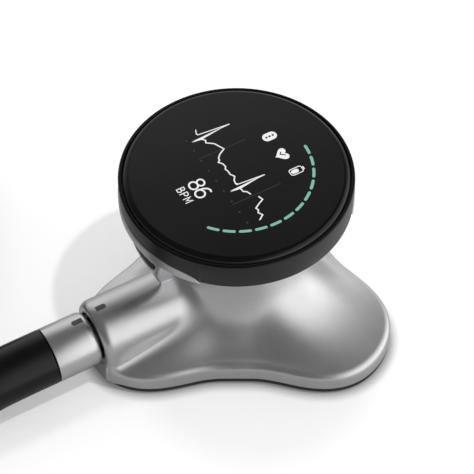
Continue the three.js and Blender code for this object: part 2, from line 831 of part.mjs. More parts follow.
function plugStem() {
  return alongHose(turned([
    [stemBore, stemTip], [stemRadius - stemChamfer, stemTip], [stemRadius, stemTip + stemChamfer],
    [stemRadius, sealAt - grooveHalf], [grooveRadius, sealAt - grooveHalf],
    [grooveRadius, sealAt + grooveHalf], [stemRadius, sealAt + grooveHalf],
    [stemRadius, sleeveEnd], [stemBore, sleeveEnd], [stemBore, stemTip],
  ], stemSteps));
}

function plugSeal() {
  const ring = new THREE.TorusGeometry(sealRing, sealSection, sealSides, stemSteps);
  return alongHose(ring.translate(0, 0, sealAt));
}

function baseGasket() {
  const band = solidOf(lobedSlab(gasketInset, gasketZ, gasketZ + gasketThick));
  const hole = solidOf(lobedSlab(gasketInnerInset, gasketZ - cutOver, gasketZ + gasketThick + cutOver));
  return geometryOf(band.subtract(hole));
}

function lobePlaces(radius) {
  return Array.from({ length: lobeCount }, (_, i) => Math.PI + (i * 2 * Math.PI) / lobeCount)
    .map((a) => [radius * Math.cos(a), radius * Math.sin(a)]);
}

function basePlate() {
  const low = plateZ - cutOver;
  const high = plateZ + plateThick + cutOver;
  const slab = solidOf(lobedSlab(plateInset, plateZ, plateZ + plateThick));
  const studs = lobePlaces(electrodeAt).map(([x, y]) => (
    solidOf(discOf(studRadius + seat, low, high, studSteps).translate(x, y, 0))
  ));
  const heads = screwPlaces().map(([x, y]) => (
    solidOf(discOf(screwHeadRadius + seat, low, plateZ + screwHeadTall + seat, studSteps).translate(x, y, 0))
  ));
  const chamber = solidOf(discOf(chamberRadius, low, high, diaphragmSteps));
  return geometryOf(cut(slab, chamber, ...studs, ...heads, ...screwHoles(low, high)));
}

function screwBody(x, y) {
  return turned([
    [0, plateZ], [screwHeadRadius, plateZ], [screwHeadRadius, plateZ + screwHeadTall],
    [screwRadius, plateZ + screwHeadTall], [screwRadius, screwTop], [0, screwTop],
  ], screwSteps).translate(x, y, 0);
}

function electrodeBody(x, y) {
  const top = plateZ - seat;
  return turned([
    [0, 0], [electrodeRadius - seat, 0], [electrodeRadius, seat], [electrodeRadius, top],
    [studRadius, top], [studRadius, studTop], [0, studTop],
  ], electrodeSteps).translate(x, y, 0);
}

// Hose route
const startRoute = [
  [hoseStart, axleZ], [52, 10.3], [58, 10.1], [64, 9.2], [70, 7.9], [76, 6.8], [82, 6.2], [88, 6.0],
].map(([x, z]) => new THREE.Vector3(-x, 0, z));

function coilPoint(share) {
  const angle = -quarterTurn - coilTurn * share;
  const radius = THREE.MathUtils.lerp(coilStartRadius, coilEndRadius, share);
  const climb = THREE.MathUtils.smoothstep(share, 1 - coilClimbShare, 1);
  return new THREE.Vector3(
    coilCentreX + radius * Math.cos(angle),
    coilCentreY + radius * Math.sin(angle),
    THREE.MathUtils.lerp(hoseRadius, crossZ, climb),
  );
}

// The coil runs straight for one diameter at each end, square to the stretch that it meets
const heading = Math.PI - (coilTurn - 2 * Math.PI);
const along = new THREE.Vector3(Math.cos(heading), Math.sin(heading), 0);
const coilFinish = coilPoint(1).addScaledVector(along, 2 * hoseRadius);
const coilRoute = [
  startRoute[startRoute.length - 1],
  ...Array.from({ length: coilSteps + 1 }, (_, k) => coilPoint(k / coilSteps)),
  coilFinish,
];

// [distance from the coil's end, height of the axis]
const finishRoute = [
  [0, 18.7], [8, 18.7], [18, 18.7], [28, 18.7], [38, 18.7], [48, 18.6], [56, 17.9], [64, 16.4],
  [72, 14.3], [80, 12.1], [88, 10.2], [96, 8.9], [104, 8.3], [112, 8.2], [120, 8.2],
].map(([run, z]) => new THREE.Vector3(
  coilFinish.x + along.x * run, coilFinish.y + along.y * run, z,
));

function hoseAlong(points, steps, sides) {
  const section = new THREE.Shape(Array.from({ length: sides }, (_, i) => {
    const a = ((i + 1 / 2) / sides) * 2 * Math.PI;
    return new THREE.Vector2(hoseRadius * Math.cos(a), hoseRadius * Math.sin(a));
  }));
  const extrudePath = new THREE.CatmullRomCurve3(points);
  return new THREE.ExtrudeGeometry(section, { extrudePath, steps, bevelEnabled: false });
}

// Pulls a route's ends in along itself, so that two stretches meet with the seat gap between them
function shyRoute(points, start, end) {
  const route = points.map((p) => p.clone());
  const last = route.length - 1;
  const inward = (from, to, gap) => from.add(to.clone().sub(from).setLength(gap));
  if (start) inward(route[0], route[1], start);
  if (end) inward(route[last], route[last - 1], end);
  return route;
}

// The least gap between stretches of the hose that are far apart along it
function leastGap(points) {
  const curve = new THREE.CatmullRomCurve3(points);
  const samples = curve.getSpacedPoints(gapSamples);
  const step = curve.getLength() / gapSamples;
  const apart = Math.ceil((4 * Math.PI * hoseRadius) / step);
  let least = Infinity;
  for (let i = 0; i < samples.length; i += 1) {
    for (let j = i + apart; j < samples.length; j += 1) {
      least = Math.min(least, samples[i].distanceTo(samples[j]));
    }
  }
  return { gap: least - 2 * hoseRadius, length: curve.getLength() };
}

const wholeRoute = [...startRoute, ...coilRoute.slice(1), ...finishRoute.slice(1)];
const measured = leastGap(wholeRoute);
console.log(`hose length ${measured.length.toFixed(1)} mm, least gap to itself ${measured.gap.toFixed(2)} mm`);

// Headset, built with its own X along the hose's heading; side is 1 for left and -1 for right
function armFrame(side) {
  return { turn: side * armAngle, x: pivotX, y: side * pivotY };
}

function alongArm(geometry, side) {
  const { turn, x, y } = armFrame(side);
  return geometry.rotateY(quarterTurn).rotateZ(turn).translate(x, y, yokeRadius);
}

function yokeBody() {
  const stem = solidOf(turned([
    [0, 0], [yokeRadius - yokeTaper, 0], [yokeRadius, yokeTaperLong], [yokeRadius, yokeLong - yokeTaperLong],
    [yokeRadius - yokeTaper, yokeLong], [0, yokeLong],
  ], yokeSteps).rotateY(quarterTurn).translate(0, 0, yokeRadius));
  const bore = solidOf(discOf(hoseRadius + yokeBoreGap, -cutOver, yokeBoreDeep, yokeSteps)
    .rotateY(quarterTurn).translate(0, 0, yokeRadius));
  const reach = (pivotX - stubStart) / Math.cos(armAngle);
  const stubs = [1, -1].map((side) => solidOf(alongArm(discOf(stubRadius, -reach, 0, stubSteps), side)));
  const sockets = [1, -1].map((side) => solidOf(
    alongArm(new THREE.SphereGeometry(ballRadius + seat, ballSteps, ballRows), side),
  ));
  return geometryOf(cut(join(stem, ...stubs), bore, ...sockets));
}

function armBody(side) {
  const profile = [];
  for (let k = 0; k <= armRows; k += 1) {
    const a = -quarterTurn + (k / armRows) * quarterTurn;
    profile.push([ballRadius * Math.cos(a), ballRadius * Math.sin(a)]);
  }
  profile.push([armRootRadius, armRootAt], [armTipRadius, armLong], [earRadius + seat, armLong]);
  profile.push([earRadius + seat, armLong - earInsert - seat], [0, armLong - earInsert - seat]);
  profile[0][0] = 0;
  return alongArm(turned(profile, armSteps), side);
}

// Places of an ear tube's middle past its arm: shares of the reach ahead and of the spread to the side
const earShares = [
  [0.5274, 0.6888], [0.6857, 0.9046], [0.8175, 1], [0.9019, 0.9627],
  [0.9652, 0.7801], [0.9947, 0.5311], [1, 0.3942],
];
const earFallShare = 0.3;  // how far along the tube starts to come down to the tips' height

function earRoute(side) {
  const enter = armLong - earInsert;
  const inArm = [enter, (enter + armLong) / 2, armLong].map((run) => [
    pivotX + run * Math.cos(armAngle), pivotY + run * Math.sin(armAngle),
  ]);
  const free = earShares.map(([ahead, aside]) => [earReach * ahead, earSpread * aside]);
  const first = inArm[0][0];
  return [...inArm, ...free].map(([x, y]) => {
    const share = (x - first) / (earReach - first);
    const fall = THREE.MathUtils.smoothstep(share, earFallShare, 1);
    return new THREE.Vector3(x, side * y, THREE.MathUtils.lerp(yokeRadius, tipZ, fall));
  });
}

function earTube(side) {
  const section = new THREE.Shape(Array.from({ length: earSides }, (_, i) => {
    const a = (i / earSides) * 2 * Math.PI;
    return new THREE.Vector2(earRadius * Math.cos(a), earRadius * Math.sin(a));
  }));
  const extrudePath = new THREE.CatmullRomCurve3(earRoute(side));
  return new THREE.ExtrudeGeometry(section, { extrudePath, steps: earSteps, bevelEnabled: false });
}

// An ear tip's dome from its widest ring to its hole: shares of the tip's radius and of its length
const domeShares = [[1, 0.54], [0.86, 0.8], [0.55, 0.95], [0.3, 1]];

function earTip(side) {
  const grip = earRadius + seat;
  const shape = turned([
    [grip, 0], [tipNeckRadius, 0], [tipNeckRadius, tipGrip / 3],
    ...domeShares.map(([wide, ahead]) => [tipRadius * wide, tipLong * ahead]),
    [tipHole, tipLong - seat], [tipHole, tipGrip + seat], [grip, tipGrip + seat], [grip, 0],
  ], tipSteps);
  const route = earRoute(side);
  const end = route[route.length - 1];
  const before = route[route.length - 2];
  const direction = end.clone().sub(before).setZ(0).normalize();
  const back = end.clone().addScaledVector(direction, -tipGrip);
  const turn = Math.atan2(direction.y, direction.x);
  return shape.rotateY(quarterTurn).rotateZ(turn).translate(back.x, back.y, tipZ);
}

// A U-shaped steel strip between the arms: [distance along the arm, distance from the arm's middle]
function leafSpring() {
  const rows = [
    [-springRoot, stubRadius + springClear], [0, stubRadius + springClear],
    [springRoot, ballRadius + springClear + springRise],
    [springTouch, ballRadius + springClear], [springLong, ballRadius + springClear],
  ];
  const onSide = (side) => rows.map(([run, off]) => new THREE.Vector2(
    pivotX + run * Math.cos(armAngle) + off * Math.sin(armAngle),
    side * (pivotY + run * Math.sin(armAngle) - off * Math.cos(armAngle)),
  ));
  const left = onSide(1);
  const base = new THREE.Vector2(left[0].x - springThick * 2, 0);
  const curve = new THREE.SplineCurve([...onSide(-1).reverse(), base, ...left]);
  const middle = curve.getSpacedPoints(springSteps);
  const sides = [1, -1].map((sign) => middle.map((p, i) => {
    const tangent = curve.getTangentAt(i / springSteps);
    return new THREE.Vector2(
      p.x - (sign * tangent.y * springThick) / 2, p.y + (sign * tangent.x * springThick) / 2,
    );
  }));
  const shape = new THREE.Shape([...sides[0], ...sides[1].reverse()]);
  const strip = new THREE.ExtrudeGeometry(shape, { depth: springTall, bevelEnabled: false });
  return strip.translate(0, 0, yokeRadius - springTall / 2);
}

// Assembly: the chestpiece
addPiece(product, 'main_body', mainBody(), satinMetal);
addPiece(product, 'bezel_ring', bezelRing(), blackMetal);
addPiece(product, 'cover_glass', coverGlass(), blackGlass);
addPiece(product, 'display_panel', displayPanel(), blackPlastic);
addPiece(product, 'main_board', mainBoard(), boardGreen);
boardChips().forEach((chip, i) => addPiece(product, `board_chip_${i + 1}`, chip, blackPlastic));
addPiece(product, 'battery', batteryCell(), cellSilver);
addPiece(product, 'sensor_lead', sensorLead(), copper);
addPiece(product, 'front_button', frontButton(), blackPlastic);
addPiece(product, 'front_switch', frontSwitch(), greyPlastic);
addPiece(product, 'side_key', sideKey(), blackMetal);
addPiece(product, 'side_switch', sideSwitch(), greyPlastic);
addPiece(product, 'charge_port', chargePort(), brightMetal);
addPiece(product, 'charge_port_tongue', portTongue(), blackPlastic);
addPiece(product, 'socket_liner', socketLiner(), blackPlastic);
addPiece(product, 'sound_driver', soundDriver(), brightMetal);
addPiece(product, 'acoustic_sensor', acousticSensor(), brightMetal);
addPiece(product, 'base_gasket', baseGasket(), blackRubber);
addPiece(product, 'base_plate', basePlate(), blackPlastic);
screwPlaces().forEach(([x, y], i) => addPiece(product, `base_screw_${i + 1}`, screwBody(x, y), brightMetal));
addPiece(product, 'diaphragm', discOf(diaphragmRadius, 0, diaphragmThick, diaphragmSteps), membrane);
addPiece(product, 'diaphragm_ring', diaphragmRing(), greyPlastic);
lobePlaces(electrodeAt).forEach(([x, y], i) => {
  addPiece(product, `electrode_${i + 1}`, electrodeBody(x, y), brightMetal);
});

// Assembly: the connector with the hose
addPiece(product, 'connector_sleeve', connectorSleeve(), satinMetal);
addPiece(product, 'plug_stem', plugStem(), brightMetal);
addPiece(product, 'plug_seal', plugSeal(), blackRubber);
for (const [name, points, startGap, endGap, steps, sides] of [
  ['tube', startRoute, 0, seat / 2, startSteps, hoseSides],
  ['tube_coil', coilRoute, seat / 2, seat / 2, coilSteps, coilSides],
  ['tube_lead', finishRoute, seat / 2, 0, finishSteps, hoseSides],
]) {
  addPiece(product, name, hoseAlong(shyRoute(points, startGap, endGap), steps, sides), blackRubber);
}

// Assembly: the headset
const headset = new THREE.Group();
const hoseEnd = finishRoute[finishRoute.length - 1];
const yokeInlet = hoseEnd.clone().addScaledVector(along, -(yokeBoreDeep - seat));
headset.position.set(yokeInlet.x, yokeInlet.y, 0);
headset.rotation.z = heading;
product.add(headset);
addPiece(headset, 'yoke', yokeBody(), blackRubber);
addPiece(headset, 'leaf_spring', leafSpring(), brightMetal);
for (const [word, side] of [['left', 1], ['right', -1]]) {
  addPiece(headset, `${word}_arm`, armBody(side), blackRubber);
  addPiece(headset, `${word}_eartube`, earTube(side), satinMetal);
  addPiece(headset, `${word}_ear_tip`, earTip(side), blackRubber);
}

export default product;
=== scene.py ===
"""Looks for a digital stethoscope: a metal chestpiece with a round display, its hose and its headset.

Lengths are in millimetres in the part's own frame, and become metres where a mesh is made.
"""

import json
from itertools import product
from math import atan2, cos, pi, radians, sin, sqrt

import bpy
import numpy as np
from mathutils import Matrix, Vector
from mathutils.geometry import tessellate_polygon


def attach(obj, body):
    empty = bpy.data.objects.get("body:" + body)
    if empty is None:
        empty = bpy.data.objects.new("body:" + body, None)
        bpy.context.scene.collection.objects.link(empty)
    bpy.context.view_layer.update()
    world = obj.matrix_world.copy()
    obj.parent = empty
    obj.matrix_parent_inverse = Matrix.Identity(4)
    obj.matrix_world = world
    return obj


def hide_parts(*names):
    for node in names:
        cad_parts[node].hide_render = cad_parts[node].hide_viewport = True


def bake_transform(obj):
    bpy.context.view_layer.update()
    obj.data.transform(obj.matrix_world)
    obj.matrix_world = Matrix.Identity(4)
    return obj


MM = 0.001

# Camera, angles in degrees
CAMERA_AZIMUTH = -30.0
CAMERA_ELEVATION = 51.44
CAMERA_DISTANCE = 363.26
CAMERA_TARGET = (5.04, 8.54, 9.2)
CAMERA_LENS = 124.55
SENSOR_WIDTH = 36.0

# Chestpiece shell
LOBES = 3
LOBE_REACH = 36.0
VALLEY_REACH = 22.7
LOBE_ROUND_SHARE = 0.0234
LOBE_FLAT_SHARE = -0.0295
SHELL_LIFT = 1.4
RIM_HEIGHT = 4.4
RIM_FILLET = 0.9
WAIST_RADIUS = 12.6
WAIST_Z = 25.4
WAIST_PULL = 13.0
BOWL_PULL = 5.1
FLARE_SHARE = 0.55
FLARE_SLOPE_SHARE = 0.2
BOWL_RADIUS = 23.4
BOWL_SHOULDER_RADIUS = 20.5
BOWL_SHOULDER_DROP = 5.1
FLANGE_Z = 36.1

# Bezel and glass
BEZEL_Z = 36.4
BEZEL_TOP = 42.24
BEZEL_RADIUS = 24.0
BEZEL_INNER = 21.9
LEDGE_INNER = 20.9
LEDGE_Z = 40.9
LEDGE_THICK = 1.2
BEZEL_LIP = 0.7
BEZEL_SKIRT = 0.5
BEZEL_ROUND = 0.35
GLASS_RADIUS = 23.05
GLASS_FLAT = 21.75
GLASS_Z = 41.2
GLASS_TOP = 42.9
GLASS_FALL = 1.1
BEZEL_FOOT = 36.0
STRIP_HEIGHT = 1.9
STRIP_THICK = 1.3
STRIP_HALF_ANGLE = radians(42.5)
STRIP_TAPER = radians(11.5)

# Pods; a keel is its radius, height, and half widths at the face and at the back
POD_FACE_HALF = 9.0
POD_TOP_RADIUS = 24.2
FRONT_KEEL = (18.7, 18.1, 0.25, 0.6)
REAR_KEEL = (13.0, 26.5, 0.8, 2.4)
POD_BULGE = 0.5
POD_ROOT = 5.0
POD_BACK = 9.0
POD_BACK_HALF = 17.0
WINDOW_FOOT = 29.3
WINDOW_TOP = 34.2
WINDOW_INSET = 0.95
WINDOW_ROUND = 0.9
WINDOW_FLOOR = 19.0
BUTTON_GAP = 0.18
BUTTON_RECESS = 0.3
BUTTON_BACK = 19.75
PORT_Z = 33.1
PORT_WIDE = 9.5
PORT_TALL = 3.8
PORT_BACK = 14.0

# Hollows of the casting, under the bezel and over the base plate
POCKET_RADIUS = 20.4
POCKET_FLOOR = 35.2
RECESS_INSET = 1.6
RECESS_TOP = 3.6

# Barrel and hose
BARREL_RADIUS = 7.4
BARREL_MOUTH = 35.1
BARREL_NOSE_LONG = 2.1
BARREL_NOSE_FALL = 1.5
BARREL_ROOT = 8.0
BORE_RADIUS = 5.2
BORE_END = 15.2
AXLE_Z = 10.3
HOSE_RADIUS = 6.0
SLEEVE_START = 35.4
SLEEVE_END = 45.2
SLEEVE_BORE = 3.7
SLEEVE_NOSE_LONG = 1.8
SLEEVE_NOSE_FALL = 1.0


def link(obj):
    bpy.context.scene.collection.objects.link(obj)
    return obj


def toward(azimuth, elevation):
    """The direction at an azimuth, from -Y towards +X, and an elevation, in degrees."""
    a, e = radians(azimuth), radians(elevation)
    return Vector((sin(a) * cos(e), -cos(a) * cos(e), sin(e)))


def polar(radius, angle, *z):
    """A point from its distance to the axis, its angle and any height."""
    return (radius * cos(angle), radius * sin(angle), *z)


def turn_angles(steps):
    return [2 * pi * k / steps for k in range(steps)]


def make_camera():
    camera = link(bpy.data.objects.new("camera", bpy.data.cameras.new("camera")))
    back = toward(CAMERA_AZIMUTH, CAMERA_ELEVATION)
    right = toward(CAMERA_AZIMUTH + 90, 0)
    camera.matrix_world = Matrix((right, back.cross(right), back)).transposed().to_4x4()
    camera.location = (Vector(CAMERA_TARGET) + back * CAMERA_DISTANCE) * MM
    camera.data.lens = CAMERA_LENS
    camera.data.sensor_width = SENSOR_WIDTH
    camera.data.clip_start = 0.01
    bpy.context.scene.camera = camera


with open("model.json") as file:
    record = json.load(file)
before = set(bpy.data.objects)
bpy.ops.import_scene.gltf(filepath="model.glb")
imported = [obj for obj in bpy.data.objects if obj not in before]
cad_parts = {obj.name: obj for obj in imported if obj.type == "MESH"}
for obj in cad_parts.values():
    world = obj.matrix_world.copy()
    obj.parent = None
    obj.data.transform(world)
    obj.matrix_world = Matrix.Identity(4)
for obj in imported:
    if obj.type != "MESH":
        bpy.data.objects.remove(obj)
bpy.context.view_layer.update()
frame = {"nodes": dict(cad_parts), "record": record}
make_camera()


# Hose route, the same points as in the part
COIL_CENTRE = (-100.0, 66.0)
COIL_START_RADIUS = 66.0
COIL_END_RADIUS = 54.0
COIL_TURN = radians(370.0)
COIL_CLIMB_SHARE = 0.26
COIL_STEPS = 26
CROSS_Z = 18.7
START_ROUTE = [(45.5, 10.3), (52, 10.3), (58, 10.1), (64, 9.2), (70, 7.9), (76, 6.8), (82, 6.2), (88, 6.0)]
FINISH_ROUTE = [
    (0, 18.7), (8, 18.7), (18, 18.7), (28, 18.7), (38, 18.7), (48, 18.6), (56, 17.9), (64, 16.4), (72, 14.3),
    (80, 12.1), (88, 10.2), (96, 8.9), (104, 8.3), (112, 8.2), (120, 8.2),
]


def smoothstep(t):
    t = min(max(t, 0), 1)
    return t * t * (3 - 2 * t)


def coil_point(share):
    angle = -pi / 2 - COIL_TURN * share
    radius = COIL_START_RADIUS + (COIL_END_RADIUS - COIL_START_RADIUS) * share
    climb = smoothstep((share - (1 - COIL_CLIMB_SHARE)) / COIL_CLIMB_SHARE)
    x, y = polar(radius, angle)
    return Vector((COIL_CENTRE[0] + x, COIL_CENTRE[1] + y, HOSE_RADIUS + (CROSS_Z - HOSE_RADIUS) * climb))


HEADING = pi - (COIL_TURN - 2 * pi)
ALONG = Vector(polar(1, HEADING, 0))


def hose_route():
    coil_end = coil_point(1) + ALONG * 2 * HOSE_RADIUS
    start = [Vector((-x, 0, z)) for x, z in START_ROUTE]
    coil = [coil_point(k / COIL_STEPS) for k in range(COIL_STEPS + 1)]
    finish = [Vector((coil_end.x + ALONG.x * run, coil_end.y + ALONG.y * run, z)) for run, z in FINISH_ROUTE]
    return start + coil + finish


def between(a, b, ta, tb, t):
    return a * ((tb - t) / (tb - ta)) + b * ((t - ta) / (tb - ta))


def smooth_route(points, parts=8):
    """Points close together on a centripetal spline through the given ones."""
    padded = [points[0] * 2 - points[1]] + list(points) + [points[-1] * 2 - points[-2]]
    route = []
    for a, b, c, d in zip(padded, padded[1:], padded[2:], padded[3:]):
        t1 = (b - a).length ** 0.5
        t2 = t1 + (c - b).length ** 0.5
        t3 = t2 + (d - c).length ** 0.5
        for k in range(parts):
            t = t1 + (t2 - t1) * k / parts
            ab, bc, cd = between(a, b, 0, t1, t), between(b, c, t1, t2, t), between(c, d, t2, t3, t)
            route.append(between(between(ab, bc, 0, t2, t), between(bc, cd, t1, t3, t), t1, t2, t))
    route.append(points[-1].copy())
    return route


def mesh_object(name, vertices, faces, smooth=True):
    mesh = bpy.data.meshes.new(name)
    mesh.from_pydata([tuple(float(c) * MM for c in v) for v in vertices], [], faces)
    mesh.update()
    if smooth:
        mesh.shade_smooth()
    return link(bpy.data.objects.new(name, mesh))


def soften(obj, angle=32.0):
    """Keeps edges sharp that bend more than this angle."""
    obj.data.set_sharp_from_angle(angle=radians(angle))
    return obj


def skin_rings(name, rings, closed=False, smooth=True):
    """A mesh through rings of equal count, capped at both ends or, when closed, joined."""
    n = len(rings[0])
    vertices = [p for ring in rings for p in ring]
    faces = []
    pairs = [(k, k + 1) for k in range(len(rings) - 1)]
    if closed:
        pairs.append((len(rings) - 1, 0))
    else:
        faces += [list(range(n))[::-1], list(range(len(vertices) - n, len(vertices)))]
    for low, high in pairs:
        faces += [[low * n + i, low * n + (i + 1) % n, high * n + (i + 1) % n, high * n + i] for i in range(n)]
    return mesh_object(name, vertices, faces, smooth)


def headings(points):
    """The direction of travel at each point."""
    return [(b - a).normalized() for a, b in zip(points[:1] + points[:-1], points[1:] + points[-1:])]


def tube_along(name, points, radius, sides=32):
    """A round tube along the points, which twists as little as it can."""
    across = None
    rings = []
    for p, ahead in zip(points, headings(points)):
        if across is None:
            across = Vector((0, 0, 1)).cross(ahead)
        across = (across - ahead * across.dot(ahead)).normalized()
        up = ahead.cross(across)
        rings.append([tuple(p + (across * cos(a) + up * sin(a)) * radius) for a in turn_angles(sides)])
    return soften(skin_rings(name, rings))


hose_points = smooth_route(hose_route())
hose = tube_along("hose", hose_points, HOSE_RADIUS, 48)
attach(hose, "hose")
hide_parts("tube", "tube_coil", "tube_lead")


# Turned shapes

def arc(centre, radius, start=0, end=360, steps=6, tall=None):
    """Points on a circle, or an ellipse of half height tall, from start to end in degrees."""
    angles = [radians(start + (end - start) * k / steps) for k in range(steps + 1)]
    return [(centre[0] + radius * cos(a), centre[1] + (tall or radius) * sin(a)) for a in angles]


def corner(r, z, rounding, start, steps=4):
    """The quarter circle that rounds a corner at [r, z], by the angle where it starts."""
    right = 1 if start % 360 in (0, 270) else -1
    up = 1 if start in (0, 90) else -1
    return arc((r - right * rounding, z - up * rounding), rounding, start, start + 90, steps)


def lathe(name, profile, steps=192, closed=False, top=None):
    """A turned mesh about Z from [r, z] points. top(angle, r, z) may move each point's height."""
    vertices, faces, columns = [], [], []
    for r, z in profile:
        spots = 1 if abs(r) < 1e-9 else steps
        columns.append([len(vertices) + i % spots for i in range(steps)])
        for i in range(spots):
            a = 2 * pi * i / steps
            vertices.append(polar(r, a, top(a, r, z) if top else z))
    pairs = list(zip(columns, columns[1:]))
    if closed:
        pairs.append((columns[-1], columns[0]))
    for low, high in pairs:
        for i in range(steps):
            j = (i + 1) % steps
            face = list(dict.fromkeys((low[i], low[j], high[j], high[i])))
            if len(face) > 2:
                faces.append(face)
    return mesh_object(name, vertices, faces)


ALONG_HOSE = Matrix(((0, 0, -1, 0), (0, 1, 0, 0), (1, 0, 0, AXLE_Z * MM), (0, 0, 0, 1)))


def on_hose_axis(obj):
    """Lays a lathe about Z along the hose's axis, with its height along -X."""
    obj.data.transform(ALONG_HOSE)
    return obj


# Main body: a field that is negative inside the metal, meshed on a grid

def smooth_min(a, b, k):
    h = np.maximum(k - np.abs(a - b), 0) / k
    return np.minimum(a, b) - h * h * k / 4


def smooth_max(a, b, k):
    return -smooth_min(-a, -b, k)


def reach_at(angle):
    fall = LOBE_REACH - VALLEY_REACH
    rounder, flatter = LOBE_ROUND_SHARE * fall, LOBE_FLAT_SHARE * fall
    t = LOBES * (angle - pi)
    mean = LOBE_REACH - fall / 2
    return mean - rounder + (fall / 2 - flatter) * np.cos(t) + rounder * np.cos(2 * t) + flatter * np.cos(3 * t)


def bezier(t, a, b, c, d):
    s = 1 - t
    return s * s * s * a + 3 * s * s * t * b + 3 * s * t * t * c + t * t * t * d


FIELD_EDGES = np.linspace(20.0, 36.0, 65)
FIELD_HEIGHTS = np.linspace(0.0, 38.0, 761)


def shell_table():
    """The shell's outside radius by where its flare starts and by height."""
    t = np.linspace(0, 1, 400)
    rim_z = SHELL_LIFT + RIM_HEIGHT
    rows = []
    for edge in FIELD_EDGES:
        run = (edge - WAIST_RADIUS) * FLARE_SHARE
        r = bezier(t, edge, edge - run, WAIST_RADIUS, WAIST_RADIUS)
        z = bezier(t, rim_z, rim_z + run * FLARE_SLOPE_SHARE, WAIST_Z - WAIST_PULL, WAIST_Z)
        r2 = bezier(t, WAIST_RADIUS, WAIST_RADIUS, BOWL_SHOULDER_RADIUS, BOWL_RADIUS)
        z2 = bezier(t, WAIST_Z, WAIST_Z + BOWL_PULL, FLANGE_Z - BOWL_SHOULDER_DROP, FLANGE_Z)
        row = np.interp(FIELD_HEIGHTS, np.concatenate([z, z2[1:]]), np.concatenate([r, r2[1:]]))
        below = FIELD_HEIGHTS < rim_z
        row[below] = edge + (rim_z - FIELD_HEIGHTS[below]) / FLARE_SLOPE_SHARE
        rows.append(row)
    return np.array(rows)


SHELL = shell_table()
SHELL_SLOPE = np.gradient(SHELL, FIELD_HEIGHTS, axis=1)


def look_up(table, edge, z):
    e = np.clip((edge - FIELD_EDGES[0]) / (FIELD_EDGES[1] - FIELD_EDGES[0]), 0, len(FIELD_EDGES) - 1.001)
    h = np.clip(z / FIELD_HEIGHTS[1], 0, len(FIELD_HEIGHTS) - 1.001)
    i, j = e.astype(int), h.astype(int)
    fe, fh = e - i, h - j
    low = table[i, j] * (1 - fh) + table[i, j + 1] * fh
    high = table[i + 1, j] * (1 - fh) + table[i + 1, j + 1] * fh
    return low * (1 - fe) + high * fe


def stadium(u, v, half_long, half_tall):
    """Distance to a flat shape with rounded ends, long in u."""
    straight = half_long - half_tall
    return np.hypot(np.maximum(np.abs(u) - straight, 0), v) - half_tall


def pod_face(z, keel_radius, keel_z):
    """The share of the way from keel to bezel, and how far out a pod's face is there."""
    t = (z - keel_z) / (BEZEL_Z - keel_z)
    return t, keel_radius + (POD_TOP_RADIUS - keel_radius) * t + POD_BULGE * np.sin(pi * np.clip(t, 0, 1))


def pod_field(x, y, z, side, keel_radius, keel_z, keel_half, keel_back_half):
    t, face = pod_face(z, keel_radius, keel_z)
    half = np.maximum(keel_half + (POD_FACE_HALF - keel_half) * t, 0.05)
    back_half = np.maximum(keel_back_half + (POD_BACK_HALF - keel_back_half) * t, 0.05)
    u = side * x
    corner = np.sqrt(np.maximum(face * face - half * half, 1))
    depth = (u - POD_BACK) / (corner - POD_BACK)
    width = back_half + (half - back_half) * depth
    slope = (BEZEL_RADIUS - keel_radius) / (BEZEL_Z - keel_z)
    front = (np.hypot(x, y) - face) / sqrt(1 + slope * slope)
    cheek = (np.abs(y) - width) * 0.72
    pod = smooth_max(front, cheek, 0.35)
    pod = np.maximum(pod, POD_ROOT - u)
    return np.maximum(pod, z - BEZEL_FOOT + 0.1)


def strip_top(angle):
    """The strip's top edge: full over the pod, tapering to nothing at its ends."""
    off = np.abs((angle + pi / 2) % pi - pi / 2)
    share = np.clip((off - STRIP_HALF_ANGLE + STRIP_TAPER) / STRIP_TAPER, 0, 1)
    return BEZEL_FOOT + STRIP_HEIGHT * (1 - share * share)


def nose_fall(axial):
    """How far the barrel's end has curved in at a distance along its axis."""
    share = np.clip((axial - BARREL_MOUTH + BARREL_NOSE_LONG) / BARREL_NOSE_LONG, 0, 0.97)
    return BARREL_NOSE_FALL * (1 - np.sqrt(1 - share * share))


def window_field(y, z):
    """Distance to the window's outline, which tapers down with the pod's face."""
    _, keel_z, keel_half, _ = FRONT_KEEL
    slope = (POD_FACE_HALF - keel_half) / (BEZEL_Z - keel_z)
    half = keel_half + slope * (z - keel_z) - WINDOW_INSET
    sides = (np.abs(y) - half) / sqrt(1 + slope * slope)
    ends = np.abs(z - (WINDOW_FOOT + WINDOW_TOP) / 2) - (WINDOW_TOP - WINDOW_FOOT) / 2
    return smooth_max(sides, ends, WINDOW_ROUND)


